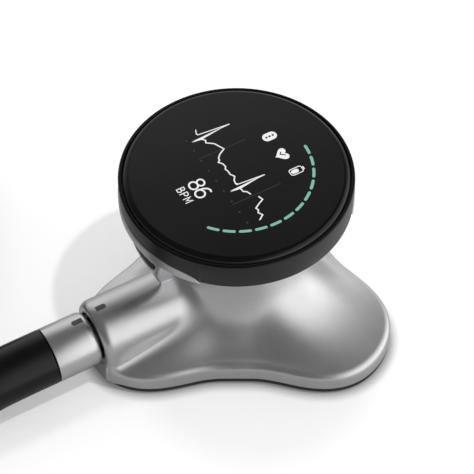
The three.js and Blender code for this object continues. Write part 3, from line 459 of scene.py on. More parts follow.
def body_field(x, y, z):
    r = np.hypot(x, y)
    axle = np.hypot(y, z - AXLE_Z)
    reach = reach_at(np.arctan2(y, x))
    wall = (r - reach) * 0.93
    side = look_up(SHELL, reach - RIM_FILLET, z)
    slope = look_up(SHELL_SLOPE, reach - RIM_FILLET, z)
    flare = (r - side) / np.sqrt(1 + slope * slope)
    shell = smooth_max(smooth_max(wall, flare, 1.5), z - FLANGE_Z, 0.2)
    arch = np.where(z > AXLE_Z, axle, np.abs(y)) - BARREL_RADIUS
    barrel = smooth_max(arch + nose_fall(-x), -x - BARREL_MOUTH, 0.3)
    barrel = np.maximum(barrel, x + BARREL_ROOT)
    body = smooth_min(shell, barrel, 2.2)
    body = smooth_min(body, pod_field(x, y, z, -1, *FRONT_KEEL), 0.35)
    body = smooth_min(body, pod_field(x, y, z, 1, *REAR_KEEL), 0.9)
    body = smooth_max(body, SHELL_LIFT - z, 0.6)
    window = smooth_max(window_field(y, z), WINDOW_FLOOR + x, 0.2)
    port = np.maximum(stadium(y, z - PORT_Z, PORT_WIDE / 2, PORT_TALL / 2), PORT_BACK - x)
    bore = np.maximum(axle - BORE_RADIUS, x + BORE_END)
    mouth = np.maximum(axle - HOSE_RADIUS - 0.3, x + BARREL_MOUTH)
    recess = np.maximum((r - reach + RECESS_INSET) * 0.93, z - RECESS_TOP)
    for hollow, rounding in ((window, 0.25), (port, 0.25), (bore, 0.5), (mouth, 0.3), (recess, 0.25)):
        body = smooth_max(body, -hollow, rounding)
    return np.maximum(body, -np.maximum(r - POCKET_RADIUS, POCKET_FLOOR - z))


CORNERS = np.array(list(product((0, 1), repeat=3)))
UNITS = np.eye(3, dtype=int)


def surface_net(field, low, high, step):
    """Vertices and quads of the field's zero surface, on a grid of that step."""
    axes = [np.arange(a, b + step, step) for a, b in zip(low, high)]
    x, y = np.meshgrid(axes[0], axes[1], indexing="ij")
    values = np.stack([field(x, y, np.full_like(x, z)) for z in axes[2]], 2).astype(np.float32)
    inside = values < 0
    cut = [slice(0, -1), slice(1, None)]
    count = sum(inside[cut[i], cut[j], cut[k]].astype(np.int8) for i, j, k in CORNERS)
    cells = np.argwhere((count > 0) & (count < 8))
    index = np.full(count.shape, -1, np.int32)
    index[tuple(cells.T)] = np.arange(len(cells))
    total = np.zeros((len(cells), 3))
    hits = np.zeros(len(cells))
    quads = []
    for axis in range(3):
        for corner in CORNERS[CORNERS[:, axis] == 0]:
            va = values[tuple((cells + corner).T)]
            vb = values[tuple((cells + corner + UNITS[axis]).T)]
            crossing = (va < 0) != (vb < 0)
            t = np.where(crossing, va / np.where(crossing, va - vb, 1), 0)
            total[crossing] += (corner + t[:, None] * UNITS[axis])[crossing]
            hits += crossing
        others = [n for n in range(3) if n != axis]
        edges = np.argwhere(np.diff(inside, axis=axis))
        last = np.array(values.shape)[others] - 1
        edges = edges[((edges[:, others] > 0) & (edges[:, others] < last)).all(1)]
        d1, d2 = UNITS[others]
        quad = np.stack([index[tuple((edges - d).T)] for d in (d1 + d2, d2, 0, d1)], 1)
        turned = inside[tuple(edges.T)] != (axis != 1)
        quad[turned] = quad[turned][:, ::-1]
        quads.append(quad)
    return np.array(low) + (cells + total / hits[:, None]) * step, np.concatenate(quads)


def gradient(field, p, step=0.02):
    return np.stack([field(*(p + d).T) - field(*(p - d).T) for d in np.eye(3) * step], 1) / (2 * step)


def settle(field, vertices, quads, rounds=3):
    """Evens the mesh out and puts each vertex on the field's surface."""
    edges = np.concatenate([quads[:, [a, (a + 1) % 4]] for a in range(4)])
    here, there = np.concatenate([edges, edges[:, ::-1]]).T
    n = len(vertices)
    for turn in range(rounds):
        if turn < rounds - 1:
            total = np.stack([np.bincount(here, vertices[there, axis], n) for axis in range(3)], 1)
            vertices = vertices * 0.5 + total / np.bincount(here, minlength=n)[:, None] * 0.5
        g = gradient(field, vertices)
        step = field(*vertices.T) / np.maximum((g * g).sum(1), 0.05)
        vertices = vertices - g * np.clip(step, -0.3, 0.3)[:, None]
    return vertices


def field_object(name, field, low, high, step, frame_in=None):
    """A closed mesh of the field's surface, shaded by its slope, then moved by frame_in."""
    vertices, quads = surface_net(field, low, high, step)
    vertices = settle(field, vertices, quads)
    slope = gradient(field, vertices)
    slope /= np.maximum(np.linalg.norm(slope, axis=1, keepdims=True), 1e-6)
    if frame_in:
        turn = np.array(frame_in.to_3x3())
        vertices = vertices @ turn.T + np.array(frame_in.translation) / MM
        slope = slope @ turn.T
    obj = mesh_object(name, vertices, quads.tolist())
    obj.data.normals_split_custom_set_from_vertices(slope.tolist())
    return obj


def front_button():
    def field(x, y, z):
        front = (np.hypot(x, y) - pod_face(z, *FRONT_KEEL[:2])[1] + BUTTON_RECESS) * 0.95
        cap = smooth_max(window_field(y, z) + BUTTON_GAP, front, 0.5)
        return np.maximum(cap, BUTTON_BACK + x)

    return field_object("front_button_skin", field, (-24.5, -9.0, 28.0), (-19.0, 9.0, 34.0), 0.2)


def strip(middle, steps=170):
    """The metal strip over a pod, which covers the bezel's lower edge."""
    inner, outer, edge = BEZEL_RADIUS - 1.1, POD_TOP_RADIUS + 0.02, 0.22
    rings = []
    for k in range(steps + 1):
        off = STRIP_HALF_ANGLE * (1 - 2 * k / steps)
        top = float(strip_top(off))
        profile = [(inner, BEZEL_FOOT - 0.25), (outer, BEZEL_FOOT - 0.25)]
        profile += arc((outer - edge, max(top - edge, BEZEL_FOOT - 0.2)), edge, 0, 90, 4)
        profile += [(inner, top)]
        rings.append([polar(r, middle + off, z) for r, z in profile])
    return skin_rings(f"strip_{'front' if middle else 'rear'}", rings)


# Materials

class Graph:
    """A node tree, to which a node is added together with its settings and inputs."""

    def __init__(self, tree):
        self.tree = tree

    def feed(self, node, inputs):
        """Links the sockets and sets the values that are given for the node's inputs."""
        for key, value in inputs.items():
            if isinstance(value, bpy.types.NodeSocket):
                self.tree.links.new(value, node.inputs[key])
            else:
                node.inputs[key].default_value = value

    def add(self, kind, inputs, out=None, **settings):
        """Adds a node and gives it back, or only the output that is named."""
        node = self.tree.nodes.new(f"ShaderNode{kind}")
        for key, value in settings.items():
            setattr(node, key, value)
        self.feed(node, inputs)
        return node if out is None else node.outputs[out]

    def noise(self, scale, detail=3.0):
        place = self.add("TexCoord", {}, "Object")
        return self.add("TexNoise", {"Vector": place, "Scale": scale, "Detail": detail}, "Fac")

    def facing(self, direction, azimuth, elevation):
        """The dot product of a direction with one given by azimuth and elevation."""
        pair = {0: direction, 1: toward(azimuth, elevation)}
        return self.add("VectorMath", pair, "Value", operation="DOT_PRODUCT")

    def mixed(self, source, dark, light):
        ramp = self.add("ValToRGB", {"Fac": source})
        for element, color, position in zip(ramp.color_ramp.elements, (dark, light), (0.3, 0.7)):
            element.color = (*color, 1)
            element.position = position
        return ramp.outputs["Color"]


def grey(value):
    return (value, value, value * 1.01)


def new_material(name):
    material = bpy.data.materials.new(name)
    material.use_nodes = True
    return material, Graph(material.node_tree), material.node_tree.nodes["Principled BSDF"]


def surface(name, dark, light, rough, grain, metallic=0.0, bump=0.1, depth=0.00002, specular=0.5):
    """A material whose colour, roughness and fine bump vary at the grain's scale."""
    material, graph, shader = new_material(name)
    fine = graph.noise(grain)
    colors = [c if isinstance(c, tuple) else grey(c) for c in (dark, light)]
    graph.feed(shader, {
        "Base Color": graph.mixed(graph.noise(grain / 12, 2.0), *colors),
        "Roughness": graph.add("MapRange", {"Value": fine, "To Min": rough[0], "To Max": rough[1]}, "Result"),
        "Normal": graph.add("Bump", {"Height": fine, "Strength": bump, "Distance": depth}, "Normal"),
        "Metallic": metallic,
        "Specular IOR Level": specular,
    })
    return material


def glow(name, color):
    """A lit print: it gives its own colour and reflects nothing."""
    material, graph, shader = new_material(name)
    graph.feed(shader, {
        "Emission Color": graph.mixed(graph.noise(3000), tuple(c * 0.94 for c in color), color),
        "Emission Strength": 1.0,
        "Base Color": (0, 0, 0, 1),
        "Roughness": 0.6,
        "Specular IOR Level": 0.0,
    })
    return material


# Looks by slot, then those of single pieces and of the print
LOOKS = {
    "satin_metal": surface("satin_metal", 0.68, 0.71, (0.29, 0.34), 5200, metallic=1.0, bump=0.12),
    "bright_metal": surface("polished_metal", 0.70, 0.74, (0.12, 0.18), 3000, metallic=1.0, bump=0.03),
    "bezel_black": surface("bezel_black", 0.0007, 0.0012, (0.28, 0.36), 5200, bump=0.08),
    "cover_glass": surface("cover_glass_black", 0.0035, 0.0045, (0.04, 0.05), 900, bump=0.005),
    "rubber_black": surface("soft_rubber", 0.014, 0.020, (0.45, 0.58), 2600, bump=0.15),
    "plastic_black": surface("black_plastic", 0.008, 0.012, (0.35, 0.45), 4200),
    "plastic_grey": surface("grey_plastic", 0.28, 0.32, (0.4, 0.5), 4200),
    "board_green": surface("board_green", (0.01, 0.10, 0.05), (0.02, 0.14, 0.07), (0.3, 0.4), 2500, bump=0.05),
    "cell_silver": surface("cell_foil", 0.55, 0.62, (0.3, 0.42), 1500, metallic=0.8),
    "copper_lead": surface(
        "copper_lead", (0.62, 0.30, 0.14), (0.72, 0.38, 0.18), (0.25, 0.35), 2500, metallic=1.0,
    ),
    "membrane": surface("membrane", 0.68, 0.74, (0.35, 0.42), 3800),
}
SLEEVE_METAL = surface("sleeve_metal", 0.70, 0.73, (0.26, 0.31), 5200, metallic=1.0)
DEEP_BLACK = surface("deep_black", 0.0005, 0.0008, (0.10, 0.13), 2400, bump=0.01, specular=0.35)
# A lighter grey ring on the glass's outermost edge is a painted highlight.
GLASS_EDGE_HIGHLIGHT = surface("painted_glass_edge_highlight", 0.011, 0.013, (0.3, 0.35), 2400, bump=0.02)
RUBBER = surface("hose_rubber", 0.001, 0.002, (0.22, 0.28), 1800, depth=0.00003, specular=0.35)
BUTTON_BLACK = surface("button_black", 0.002, 0.004, (0.5, 0.6), 4200, specular=0.2)
INLAY = surface("inlay_grey", 0.035, 0.045, (0.5, 0.6), 4200, bump=0.05)
WHITE_PRINT = glow("display_white", (0.92, 0.92, 0.92))
FAINT_PRINT = glow("display_faint", (0.055, 0.055, 0.055))
TEAL_PRINT = glow("display_teal", (0.246, 0.508, 0.407))


def dress(obj, material):
    obj.data.materials.clear()
    obj.data.materials.append(material)


def place(obj, slot, *nodes, body="chestpiece", material=None):
    """Gives a piece its look, from its slot unless a material is given, puts it on the body it rides on, and
    hides the nodes it stands for.
    """
    dress(obj, material or LOOKS[slot])
    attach(obj, body)
    if nodes:
        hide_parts(*nodes)
    return obj


dress(hose, RUBBER)


# The nodes that no piece here stands for show their slots' looks
for part in frame["record"]["subparts"]:
    for material_slot in frame["nodes"][part["node"]].material_slots:
        material_slot.material = LOOKS[part["material_slot"]]


# Chestpiece

step = 0.35
main_body = field_object("main_body_skin", body_field, (-37.0, -34.4, 0.8), (26.4, 34.4, 37.0), step)
place(main_body, "satin_metal", "main_body")
for middle in (pi, 0):
    place(soften(strip(middle), 50), "satin_metal")
place(front_button(), "plastic_black", "front_button", body="button", material=BUTTON_BLACK)


def bezel():
    r = BEZEL_RADIUS
    seat = FLANGE_Z + 0.1
    profile = [(BEZEL_INNER, seat), (r - BEZEL_SKIRT, seat), (r - BEZEL_SKIRT, BEZEL_FOOT)]
    profile += corner(r, BEZEL_FOOT, 0.2, -90) + corner(r, BEZEL_TOP, BEZEL_ROUND, 0, 6)
    profile += corner(r - BEZEL_LIP, BEZEL_TOP, 0.15, 90) + [(r - BEZEL_LIP, LEDGE_Z), (LEDGE_INNER, LEDGE_Z)]
    profile += [(LEDGE_INNER, LEDGE_Z - LEDGE_THICK), (BEZEL_INNER, LEDGE_Z - LEDGE_THICK - 0.5)]

    def lifted(angle, radius, z):
        edge = float(strip_top(angle)) + 0.12
        return max(z, edge) if radius > BEZEL_RADIUS - STRIP_THICK and z < BEZEL_Z + 1 else z

    return lathe("bezel_skin", profile, 384, closed=True, top=lifted)


def paint_above(obj, height, inner, outer, material):
    """Gives the faces above a height and between two radii a material of their own."""
    obj.data.materials.append(material)
    for face in obj.data.polygons:
        middle = face.center / MM
        if middle.z > height and inner < middle.xy.length < outer:
            face.material_index = len(obj.data.materials) - 1


ring = place(soften(bezel()), "bezel_black", "bezel_ring")
paint_above(ring, BEZEL_TOP - BEZEL_ROUND - 0.01, BEZEL_RADIUS - BEZEL_LIP + 0.12, BEZEL_RADIUS, DEEP_BLACK)


def cover_glass():
    profile = [(0, GLASS_Z), (GLASS_RADIUS - 0.2, GLASS_Z), (GLASS_RADIUS, GLASS_Z + 0.2)]
    edge = (GLASS_FLAT, GLASS_TOP - GLASS_FALL)
    profile += arc(edge, GLASS_RADIUS - GLASS_FLAT, 0, 90, 10, tall=GLASS_FALL)
    return lathe("cover_glass_skin", profile + [(0, GLASS_TOP)], 256)


glass = place(soften(cover_glass(), 50), "cover_glass", "cover_glass")
paint_above(glass, GLASS_Z, GLASS_FLAT, GLASS_RADIUS - 0.25, DEEP_BLACK)
# Painted highlight: the glass's outermost edge is a lighter grey.
paint_above(glass, GLASS_Z, GLASS_RADIUS - 0.25, GLASS_RADIUS + 1, GLASS_EDGE_HIGHLIGHT)


# Display print, in the display's own axes: x to its right, y up

PRINT_Z = GLASS_TOP + 0.01
PRINT_THICK = 0.02


def slab(name, outline, material, low=PRINT_Z):
    """A thin closed plate with this outline, in display axes."""
    ring = [(y, -x) for x, y in outline]
    obj = skin_rings(name, [[(x, y, z) for x, y in ring] for z in (low, low + PRINT_THICK)], smooth=False)
    if sum(a[0] * b[1] - b[0] * a[1] for a, b in zip(ring, ring[1:] + ring[:1])) < 0:
        obj.data.flip_normals()
    place(obj, "cover_glass", material=material)


def stroke_outline(points, width):
    """The outline of a pen stroke along the points, with round ends."""
    points = [Vector(p) for p in points]
    runs = [(b - a).normalized() for a, b in zip(points, points[1:])]
    half = width / 2
    left, right = [], []
    for p, d1, d2 in zip(points, runs[:1] + runs, runs + runs[-1:]):
        bend = (d1 + d2).normalized() if (d1 + d2).length > 0.2 else d2
        normal = Vector((-bend.y, bend.x))
        grow = min(1 / max(normal.dot(Vector((-d2.y, d2.x))), 0.4), 2.2)
        left.append(p + normal * half * grow)
        right.append(p - normal * half * grow)

    def cap(centre, ahead):
        return [centre + Vector(polar(half, atan2(ahead.y, ahead.x) + t)) for t in (pi / 4, 0, -pi / 4)]

    return [tuple(p) for p in left + cap(points[-1], runs[-1]) + right[::-1] + cap(points[0], -runs[0])]


def stroke(name, points, width, material=WHITE_PRINT, shift=(0, 0)):
    slab(name, stroke_outline([(x + shift[0], y + shift[1]) for x, y in points], width), material)


def dot(name, x, y, radius, material, low=PRINT_Z):
    slab(name, arc((x, y), radius, steps=12)[:-1], material, low)


TRACE_WIDTH = 0.27
SPIKE_WIDTH = 0.22
TRACES = [
    [(-13.9, -1.7), (-12.9, -2.1), (-12.5, -1.9), (-11.9, 5.1)],
    [(-11.9, 5.1), (-11.35, -4.0), (-11.1, -1.9)],
    [(-11.1, -1.9), (-10.4, -1.3), (-9.8, -1.6), (-8.7, -0.2), (-7.8, 0.2), (-6.5, 0.8), (-5.7, -0.6),
     (-4.9, -1.4), (-4.3, -1.5), (-3.9, -2.0), (-3.1, -1.4), (-2.2, -1.3), (-1.6, -1.7), (-0.9, -1.5),
     (0.1, -1.5), (1.0, -1.0), (1.8, -1.6), (2.7, -1.8), (3.0, -1.5)],
    [(2.7, -1.8), (3.1, -1.7), (3.6, 4.4)],
    [(3.6, 4.4), (4.0, -3.8), (4.3, -1.6)],
    [(4.3, -1.6), (5.3, -1.5), (5.7, -0.9), (6.6, -0.6)],
    [(8.0, 0.5), (9.0, 0.8), (9.6, -0.4), (10.3, -1.5), (10.9, -1.3), (11.5, -1.7), (12.4, -1.2),
     (13.2, -2.3)],
]
for number, trace in enumerate(TRACES, 1):
    spike = max(y for _, y in trace) > 3
    stroke(f"trace_{number}", trace, SPIKE_WIDTH if spike else TRACE_WIDTH)

for number, x in enumerate((-6.6, 7.2), 1):
    stroke(f"grid_line_{number}", [(x, -5.0), (x, 6.0)], 0.14, FAINT_PRINT)
for number in range(9):
    dot(f"grid_dot_{number + 1}", -12.2 + 3.1 * number, -4.8, 0.22, FAINT_PRINT)

DASH_COUNT = 12
DASH_RADIUS = 15.6
DASH_FIRST = 7.8
DASH_PITCH = 11.75
DASH_REACH = 2.5 / DASH_RADIUS * 90 / pi - 0.9
for number in range(DASH_COUNT):
    middle = 90 - (DASH_FIRST + DASH_PITCH * number)
    dash = arc((0, 0), DASH_RADIUS, middle + DASH_REACH, middle - DASH_REACH)
    stroke(f"gauge_dash_{number + 1}", dash, 0.62, TEAL_PRINT)

# Two figures, an eight and a six, and the unit under them
FIGURE_WIDTH = 0.36
FIGURE_RINGS = {
    "eight_low": (-1.0, -9.38, 1.0, 0.88),
    "eight_high": (-1.0, -7.74, 0.86, 0.76),
    "six_low": (1.5, -9.26, 1.0, 1.0),
}
for name, (x, y, half_wide, half_tall) in FIGURE_RINGS.items():
    for half, start in (("a", -90), ("b", 90)):
        stroke(f"{name}_{half}", arc((x, y), half_wide, start, start + 180, 18, half_tall), FIGURE_WIDTH)
stroke("six_stem", [(1.85, 1.55), (1.35, 1.62), (0.8, 1.3), (0.42, 0.6), (0.25, -0.3), (0.27, -0.8)],
       FIGURE_WIDTH, shift=(0.25, -8.6))
UNIT_STROKES = {
    "b_1": [(-1.9, -0.8), (-1.9, 0.8)],
    "b_2": [(-1.9, 0.8), (-1.35, 0.8), (-1.1, 0.5), (-1.25, 0.1), (-1.9, 0.02)],
    "b_3": [(-1.9, 0.02), (-1.2, 0.0), (-0.95, -0.3), (-1.2, -0.8), (-1.9, -0.8)],
    "p_1": [(-0.45, -0.8), (-0.45, 0.8)],
    "p_2": [(-0.45, 0.8), (0.2, 0.8), (0.5, 0.4), (0.2, 0.0), (-0.45, -0.02)],
    "m_1": [(1.0, -0.8), (1.0, 0.8), (1.55, -0.35), (2.1, 0.8), (2.1, -0.8)],
}
for name, points in UNIT_STROKES.items():
    stroke(f"unit_{name}", points, 0.21, shift=(0.2, -12.1))


# Icons: a heart with a tick, a pill with three dots, and a battery

def heart(x, y, size):
    curve = [(16 * sin(t) ** 3, 13 * cos(t) - 5 * cos(2 * t) - 2 * cos(3 * t) - cos(4 * t))
             for t in turn_angles(40)]
    slab("icon_heart", [(x + size * a / 17, y + size * b / 17) for a, b in curve], WHITE_PRINT)


def pill(name, x, y, r, half_tall):
    top = arc((x, y + half_tall - r), r, 0, 180, 12)
    slab(name, top + arc((x, y - half_tall + r), r, 180, 360, 12), WHITE_PRINT)


def battery_icon(x, y, half_wide=0.8, half_tall=1.4, r=0.45):
    corners = [corner(x + right * half_wide, y + up * half_tall, r, start, 6)
               for right, up, start in ((1, 1, 0), (-1, 1, 90), (-1, -1, 180), (1, -1, 270))]
    for name, side, round_end in (("a", 1, corners[0] + corners[1]), ("b", -1, corners[2] + corners[3])):
        stroke(f"icon_battery_{name}", [(x + side * half_wide, y), *round_end, (x - side * half_wide, y)], 0.2)
    pill("icon_battery_fill", x, y - 0.3, 0.5, 0.85)
    stroke("icon_battery_cap", [(-0.3, half_tall + 0.3), (0.3, half_tall + 0.3)], 0.26, shift=(x, y))


OVER_PRINT = PRINT_Z + PRINT_THICK
ICON_BLACK = LOOKS["plastic_black"]
heart(0.7, 10.3, 1.66)
slab("icon_heart_tick", stroke_outline([(0.1, 10.35), (0.5, 9.95), (1.2, 10.8)], 0.24), ICON_BLACK, OVER_PRINT)
pill("icon_pill", -4.8, 10.6, 1.05, 1.6)
for number, lift in enumerate((-0.75, 0.0, 0.75), 1):
    dot(f"icon_pill_mark_{number}", -4.8, 10.6 + lift, 0.26, ICON_BLACK, OVER_PRINT)
battery_icon(5.9, 10.5)


# Connector

def sleeve():
    profile = [(SLEEVE_BORE, SLEEVE_START)]
    nose = (HOSE_RADIUS - SLEEVE_NOSE_FALL, SLEEVE_START + SLEEVE_NOSE_LONG)
    profile += arc(nose, SLEEVE_NOSE_FALL, -90, 0, 12, SLEEVE_NOSE_LONG)
    profile += corner(HOSE_RADIUS, SLEEVE_END, 0.12, 0, 3) + [(SLEEVE_BORE, SLEEVE_END)]
    return on_hose_axis(lathe("connector_sleeve_skin", profile, 128, closed=True))


place(soften(sleeve()), "satin_metal", "connector_sleeve", body="hose", material=SLEEVE_METAL)


def mark(name, square_end, round_end, angle, body, half_wide=0.62):
    """A dark inlay on a surface about the hose's axis, with one square and one round end."""
    side = 1 if round_end > square_end else -1
    centre = round_end - side * half_wide
    outline = [(square_end, -half_wide)] + arc((centre, 0), half_wide, -90, -90 + side * 180, 12)
    outline += [(square_end, half_wide)]
    on_barrel = body == "chestpiece"
    radius = BARREL_RADIUS if on_barrel else HOSE_RADIUS
    rings = []
    for rise in (-0.2, 0.05):
        ring = []
        for axial, across in outline:
            fall = float(nose_fall(axial)) if on_barrel else 0.0
            y, up = polar(radius - fall + rise, radians(angle) + across / radius)
            ring.append((-axial, y, AXLE_Z + up))
        rings.append(ring)
    obj = skin_rings(name, rings, smooth=False)
    if side < 0:
        obj.data.flip_normals()
    place(obj, "plastic_black", body=body, material=INLAY)


mark("barrel_mark", 33.35, 31.05, 84.5, "chestpiece")
mark("connector_mark", 36.6, 39.05, 82.5, "hose")


# Key on the bezel's right side

KEY_ANGLE = radians(-14.0)
KEY_Z = 39.4
KEY_HALF_LONG = 3.3
KEY_HALF_TALL = 0.65
KEY_PROUD = 0.55
KEY_CROWN = 0.045
KEY_BACK = 21.3


def side_key():
    def field(x, y, z):
        out = x * cos(KEY_ANGLE) + y * sin(KEY_ANGLE)
        across = y * cos(KEY_ANGLE) - x * sin(KEY_ANGLE)
        edge = stadium(across, z - KEY_Z, KEY_HALF_LONG, KEY_HALF_TALL)
        front = np.hypot(x, y) - BEZEL_RADIUS - KEY_PROUD + KEY_CROWN * across * across
        return np.maximum(smooth_max(edge, front, 0.5), KEY_BACK - out)

    return field_object("side_key_skin", field, (18.0, -10.5, 38.2), (25.5, -1.0, 40.6), 0.15)


place(side_key(), "bezel_black", "side_key", body="key")


# Charging socket in the rear pod, open towards +X, with its tongue

def stadium_skin(name, layers):
    """A mesh through upright stadiums, long in y, from the x, half length and half height of each."""
    rings = []
    for x, half_long, half_tall in layers:
        straight = half_long - half_tall
        outline = arc((straight, 0), half_tall, -90, 90, 12) + arc((-straight, 0), half_tall, 90, 270, 12)
        rings.append([(x, y, PORT_Z + z) for y, z in outline])
    return soften(skin_rings(name, rings))


PORT_LAYERS = [
    (13.68, 4.45, 1.6), (20.18, 4.45, 1.6), (20.28, 4.35, 1.5), (20.28, 4.2, 1.35),
    (20.18, 4.15, 1.3), (13.98, 4.15, 1.3),
]
TONGUE_LAYERS = [(14.58, 3.2, 0.35), (19.13, 3.2, 0.35), (19.28, 3.05, 0.23)]
place(stadium_skin("charge_port_skin", PORT_LAYERS), "bright_metal", "charge_port")
place(stadium_skin("charge_port_tongue_skin", TONGUE_LAYERS), "plastic_black", "charge_port_tongue")


# Plug, seal and liner, as radius and distance along the hose's axis

STEM_PROFILE = [(2.0, 23.6), (2.9, 23.6), (3.4, 24.1), (3.4, 29.2), (2.5, 29.2), (2.5, 30.8), (3.4, 30.8),
                (3.4, SLEEVE_END), (2.0, SLEEVE_END)]
SEAL_PROFILE = arc((3.2, 30.0), 0.5, 0, 345, 23)
LINER_PROFILE = [(3.9, 20.6), (4.9, 20.6), (4.9, 34.3), (4.6, 34.6), (4.2, 34.6), (3.9, 34.3)]
for name, profile, body, slot in (
    ("plug_stem", STEM_PROFILE, "hose", "bright_metal"),
    ("plug_seal", SEAL_PROFILE, "hose", "rubber_black"),
    ("socket_liner", LINER_PROFILE, "chestpiece", "plastic_black"),
):
    place(soften(on_hose_axis(lathe(f"{name}_skin", profile, 64, closed=True))), slot, name, body=body)


# Underside

def lobed_ring(inset, *z):
    return [polar(float(reach_at(a)) - inset, a, *z) for a in turn_angles(180)]


GASKET_LAYERS = [(3.2, 0.5), (3.1, 0.4), (0.3, 0.4), (0.15, 0.55), (0.15, 1.25), (0.3, 1.4), (3.2, 1.4)]
gasket = skin_rings("base_gasket_skin", [lobed_ring(inset, z) for inset, z in GASKET_LAYERS], closed=True)


def round_hole(radius, reach, angle, steps=40):
    """A hole's outline, clockwise."""
    cx, cy = polar(reach, radians(angle))
    return [(cx + dx, cy - dy) for dx, dy in (polar(radius, a) for a in turn_angles(steps))]


def holed_plate(name, rings, low, high):
    """A flat plate from its outline, counterclockwise, and its holes, clockwise."""
    flat = [Vector(p) for ring in rings for p in ring]
    count = len(flat)
    faces = []
    for a, b, c in tessellate_polygon([[Vector((x, y, 0)) for x, y in ring] for ring in rings]):
        if (flat[b] - flat[a]).cross(flat[c] - flat[a]) < 0:
            b, c = c, b
        faces += [[a + count, b + count, c + count], [a, c, b]]
    first = 0
    for ring in rings:
        edge = list(range(first, first + len(ring)))
        faces += [[a, b, b + count, a + count] for a, b in zip(edge, edge[1:] + edge[:1])]
        first += len(ring)
    vertices = [(x, y, z) for z in (low, high) for x, y in flat]
    return mesh_object(name, vertices, faces)


ELECTRODE_ANGLES = (180, 300, 60)
ELECTRODE_REACH = 27.3
SCREW_REACH = 27.6
SCREW_SWING = 16


def base_plate():
    rings = [lobed_ring(1.9), round_hole(16.5, 0, 0, 96)]
    rings += [round_hole(1.9, ELECTRODE_REACH, angle) for angle in ELECTRODE_ANGLES]
    rings += [round_hole(1.8, SCREW_REACH, angle + SCREW_SWING) for angle in ELECTRODE_ANGLES]
    return holed_plate("base_plate_skin", rings, 1.4, 3.3)


ELECTRODE_PROFILE = [(0, 0), (4.5, 0), *arc((4.5, 0.3), 0.3, -90, 0, 4)]
ELECTRODE_PROFILE += [(4.8, 1.1), (1.6, 1.1), (1.6, 3.0), (0, 3.0)]
SCREW_LAYERS = [(0.3, 1.95), (0.7, 1.95), (0.7, 1.42)]
RECESS_LAYERS = len(SCREW_LAYERS)
SCREW_LAYERS += [(1.3, 1.42), (1.5, 1.6), (1.5, 2.2), (0.8, 2.2), (0.8, 6.0), (0.5, 6.3)]


def screw(name):
    """A round head with a six-sided recess, on its shank."""
    rings = []
    for k, (radius, z) in enumerate(SCREW_LAYERS):
        rings.append([polar(radius / (cos((a + pi / 6) % (pi / 3) - pi / 6) if k < RECESS_LAYERS else 1), a, z)
                      for a in turn_angles(48)])
    return skin_rings(name, rings)


DIAPHRAGM_PROFILE = [(0, 0.05), (15.0, 0.05), (15.6, 0.15), (16.2, 0.05), (17.0, 0.05), (17.0, 0.4), (0, 0.4)]
RING_PROFILE = [(17.3, 1.1), (17.3, 0.2), (17.5, 0), (18.8, 0), (19.1, 0.3), (19.1, 1.1)]

place(soften(gasket), "rubber_black", "base_gasket")
place(soften(base_plate()), "plastic_black", "base_plate")
diaphragm = lathe("diaphragm_skin", DIAPHRAGM_PROFILE, 128)
place(soften(diaphragm, 20), "membrane", "diaphragm")
diaphragm_ring = lathe("diaphragm_ring_skin", RING_PROFILE, 128, closed=True)
place(soften(diaphragm_ring), "plastic_grey", "diaphragm_ring")
for number, angle in enumerate(ELECTRODE_ANGLES, 1):
    electrode = lathe(f"electrode_{number}_skin", ELECTRODE_PROFILE, 72)
    base_screw = screw(f"base_screw_{number}_skin")
    for name, obj, reach, swing in (("electrode", electrode, ELECTRODE_REACH, 0),
                                    ("base_screw", base_screw, SCREW_REACH, SCREW_SWING)):
        obj.data.transform(Matrix.Translation(polar(reach * MM, radians(angle + swing), 0)))
        place(soften(obj), "bright_metal", f"{name}_{number}")


# Headset, in its own axes: x along the hose's heading from the yoke's inlet, z up

HEADSET_Z = 8.2
YOKE_LONG = 24.0
YOKE_RADIUS = 8.18
STUB_RADIUS = 6.3
STUB_LONG = 23.41
HOSE_SOCKET = (6.35, 9.0)
BALL_SOCKET = 5.0
EARTUBE_RADIUS = 3.0
PIVOT = (36.0, 9.5)
ARM_ANGLE = radians(20.0)
EAR_REACH = 189.6
EAR_SPREAD = 48.2
EAR_TIP_Z = 6.4
hose_end = coil_point(1) + ALONG * 132
HEADSET_START = hose_end - ALONG * 8.7
HEADSET = Matrix.Translation((HEADSET_START.x * MM, HEADSET_START.y * MM, 0)) @ Matrix.Rotation(HEADING, 4, "Z")


def on_arm(x, y, side):
    """The run along an arm from its pivot, and off across it."""
    px, py = x - PIVOT[0], side * y - PIVOT[1]
    return px * cos(ARM_ANGLE) + py * sin(ARM_ANGLE), py * cos(ARM_ANGLE) - px * sin(ARM_ANGLE)


def arm_point(run, inside=0.0):
    """The place at a run along the left arm and a distance inside it."""
    return (PIVOT[0] + run * cos(ARM_ANGLE) + inside * sin(ARM_ANGLE),
            PIVOT[1] + run * sin(ARM_ANGLE) - inside * cos(ARM_ANGLE))


def yoke():
    def field(x, y, z):
        lift = z - HEADSET_Z
        middle = np.hypot(y, lift)
        body = smooth_max(middle - YOKE_RADIUS, np.abs(x - YOKE_LONG / 2) - YOKE_LONG / 2, 1.6)
        hollows = []
        for side, union in ((1, 3.0), (-1, 2.0)):
            run, off = on_arm(x, y, side)
            stub = smooth_max(np.hypot(off, lift) - STUB_RADIUS, np.maximum(run, -STUB_LONG - run), 0.8)
            body = smooth_min(body, stub, union)
            hollows.append(np.sqrt(run * run + off * off + lift * lift) - BALL_SOCKET)
        hollows.append(np.maximum(middle - HOSE_SOCKET[0], x - HOSE_SOCKET[1]))
        for hollow in hollows:
            body = smooth_max(body, -hollow, 0.4)
        return np.maximum(body, 0.02 - z)

    step = 0.45
    return field_object("yoke_skin", field, (-0.7, -18.5, -0.4), (39.5, 18.5, 17.2), step, HEADSET)


def stand(obj, centre, heading):
    """Lays a lathe about Z along a level line from centre, along the heading."""
    level = Matrix.Rotation(heading, 4, "Z") @ Matrix.Rotation(pi / 2, 4, "Y")
    obj.data.transform(HEADSET @ Matrix.Translation([c * MM for c in centre]) @ level)
    return obj


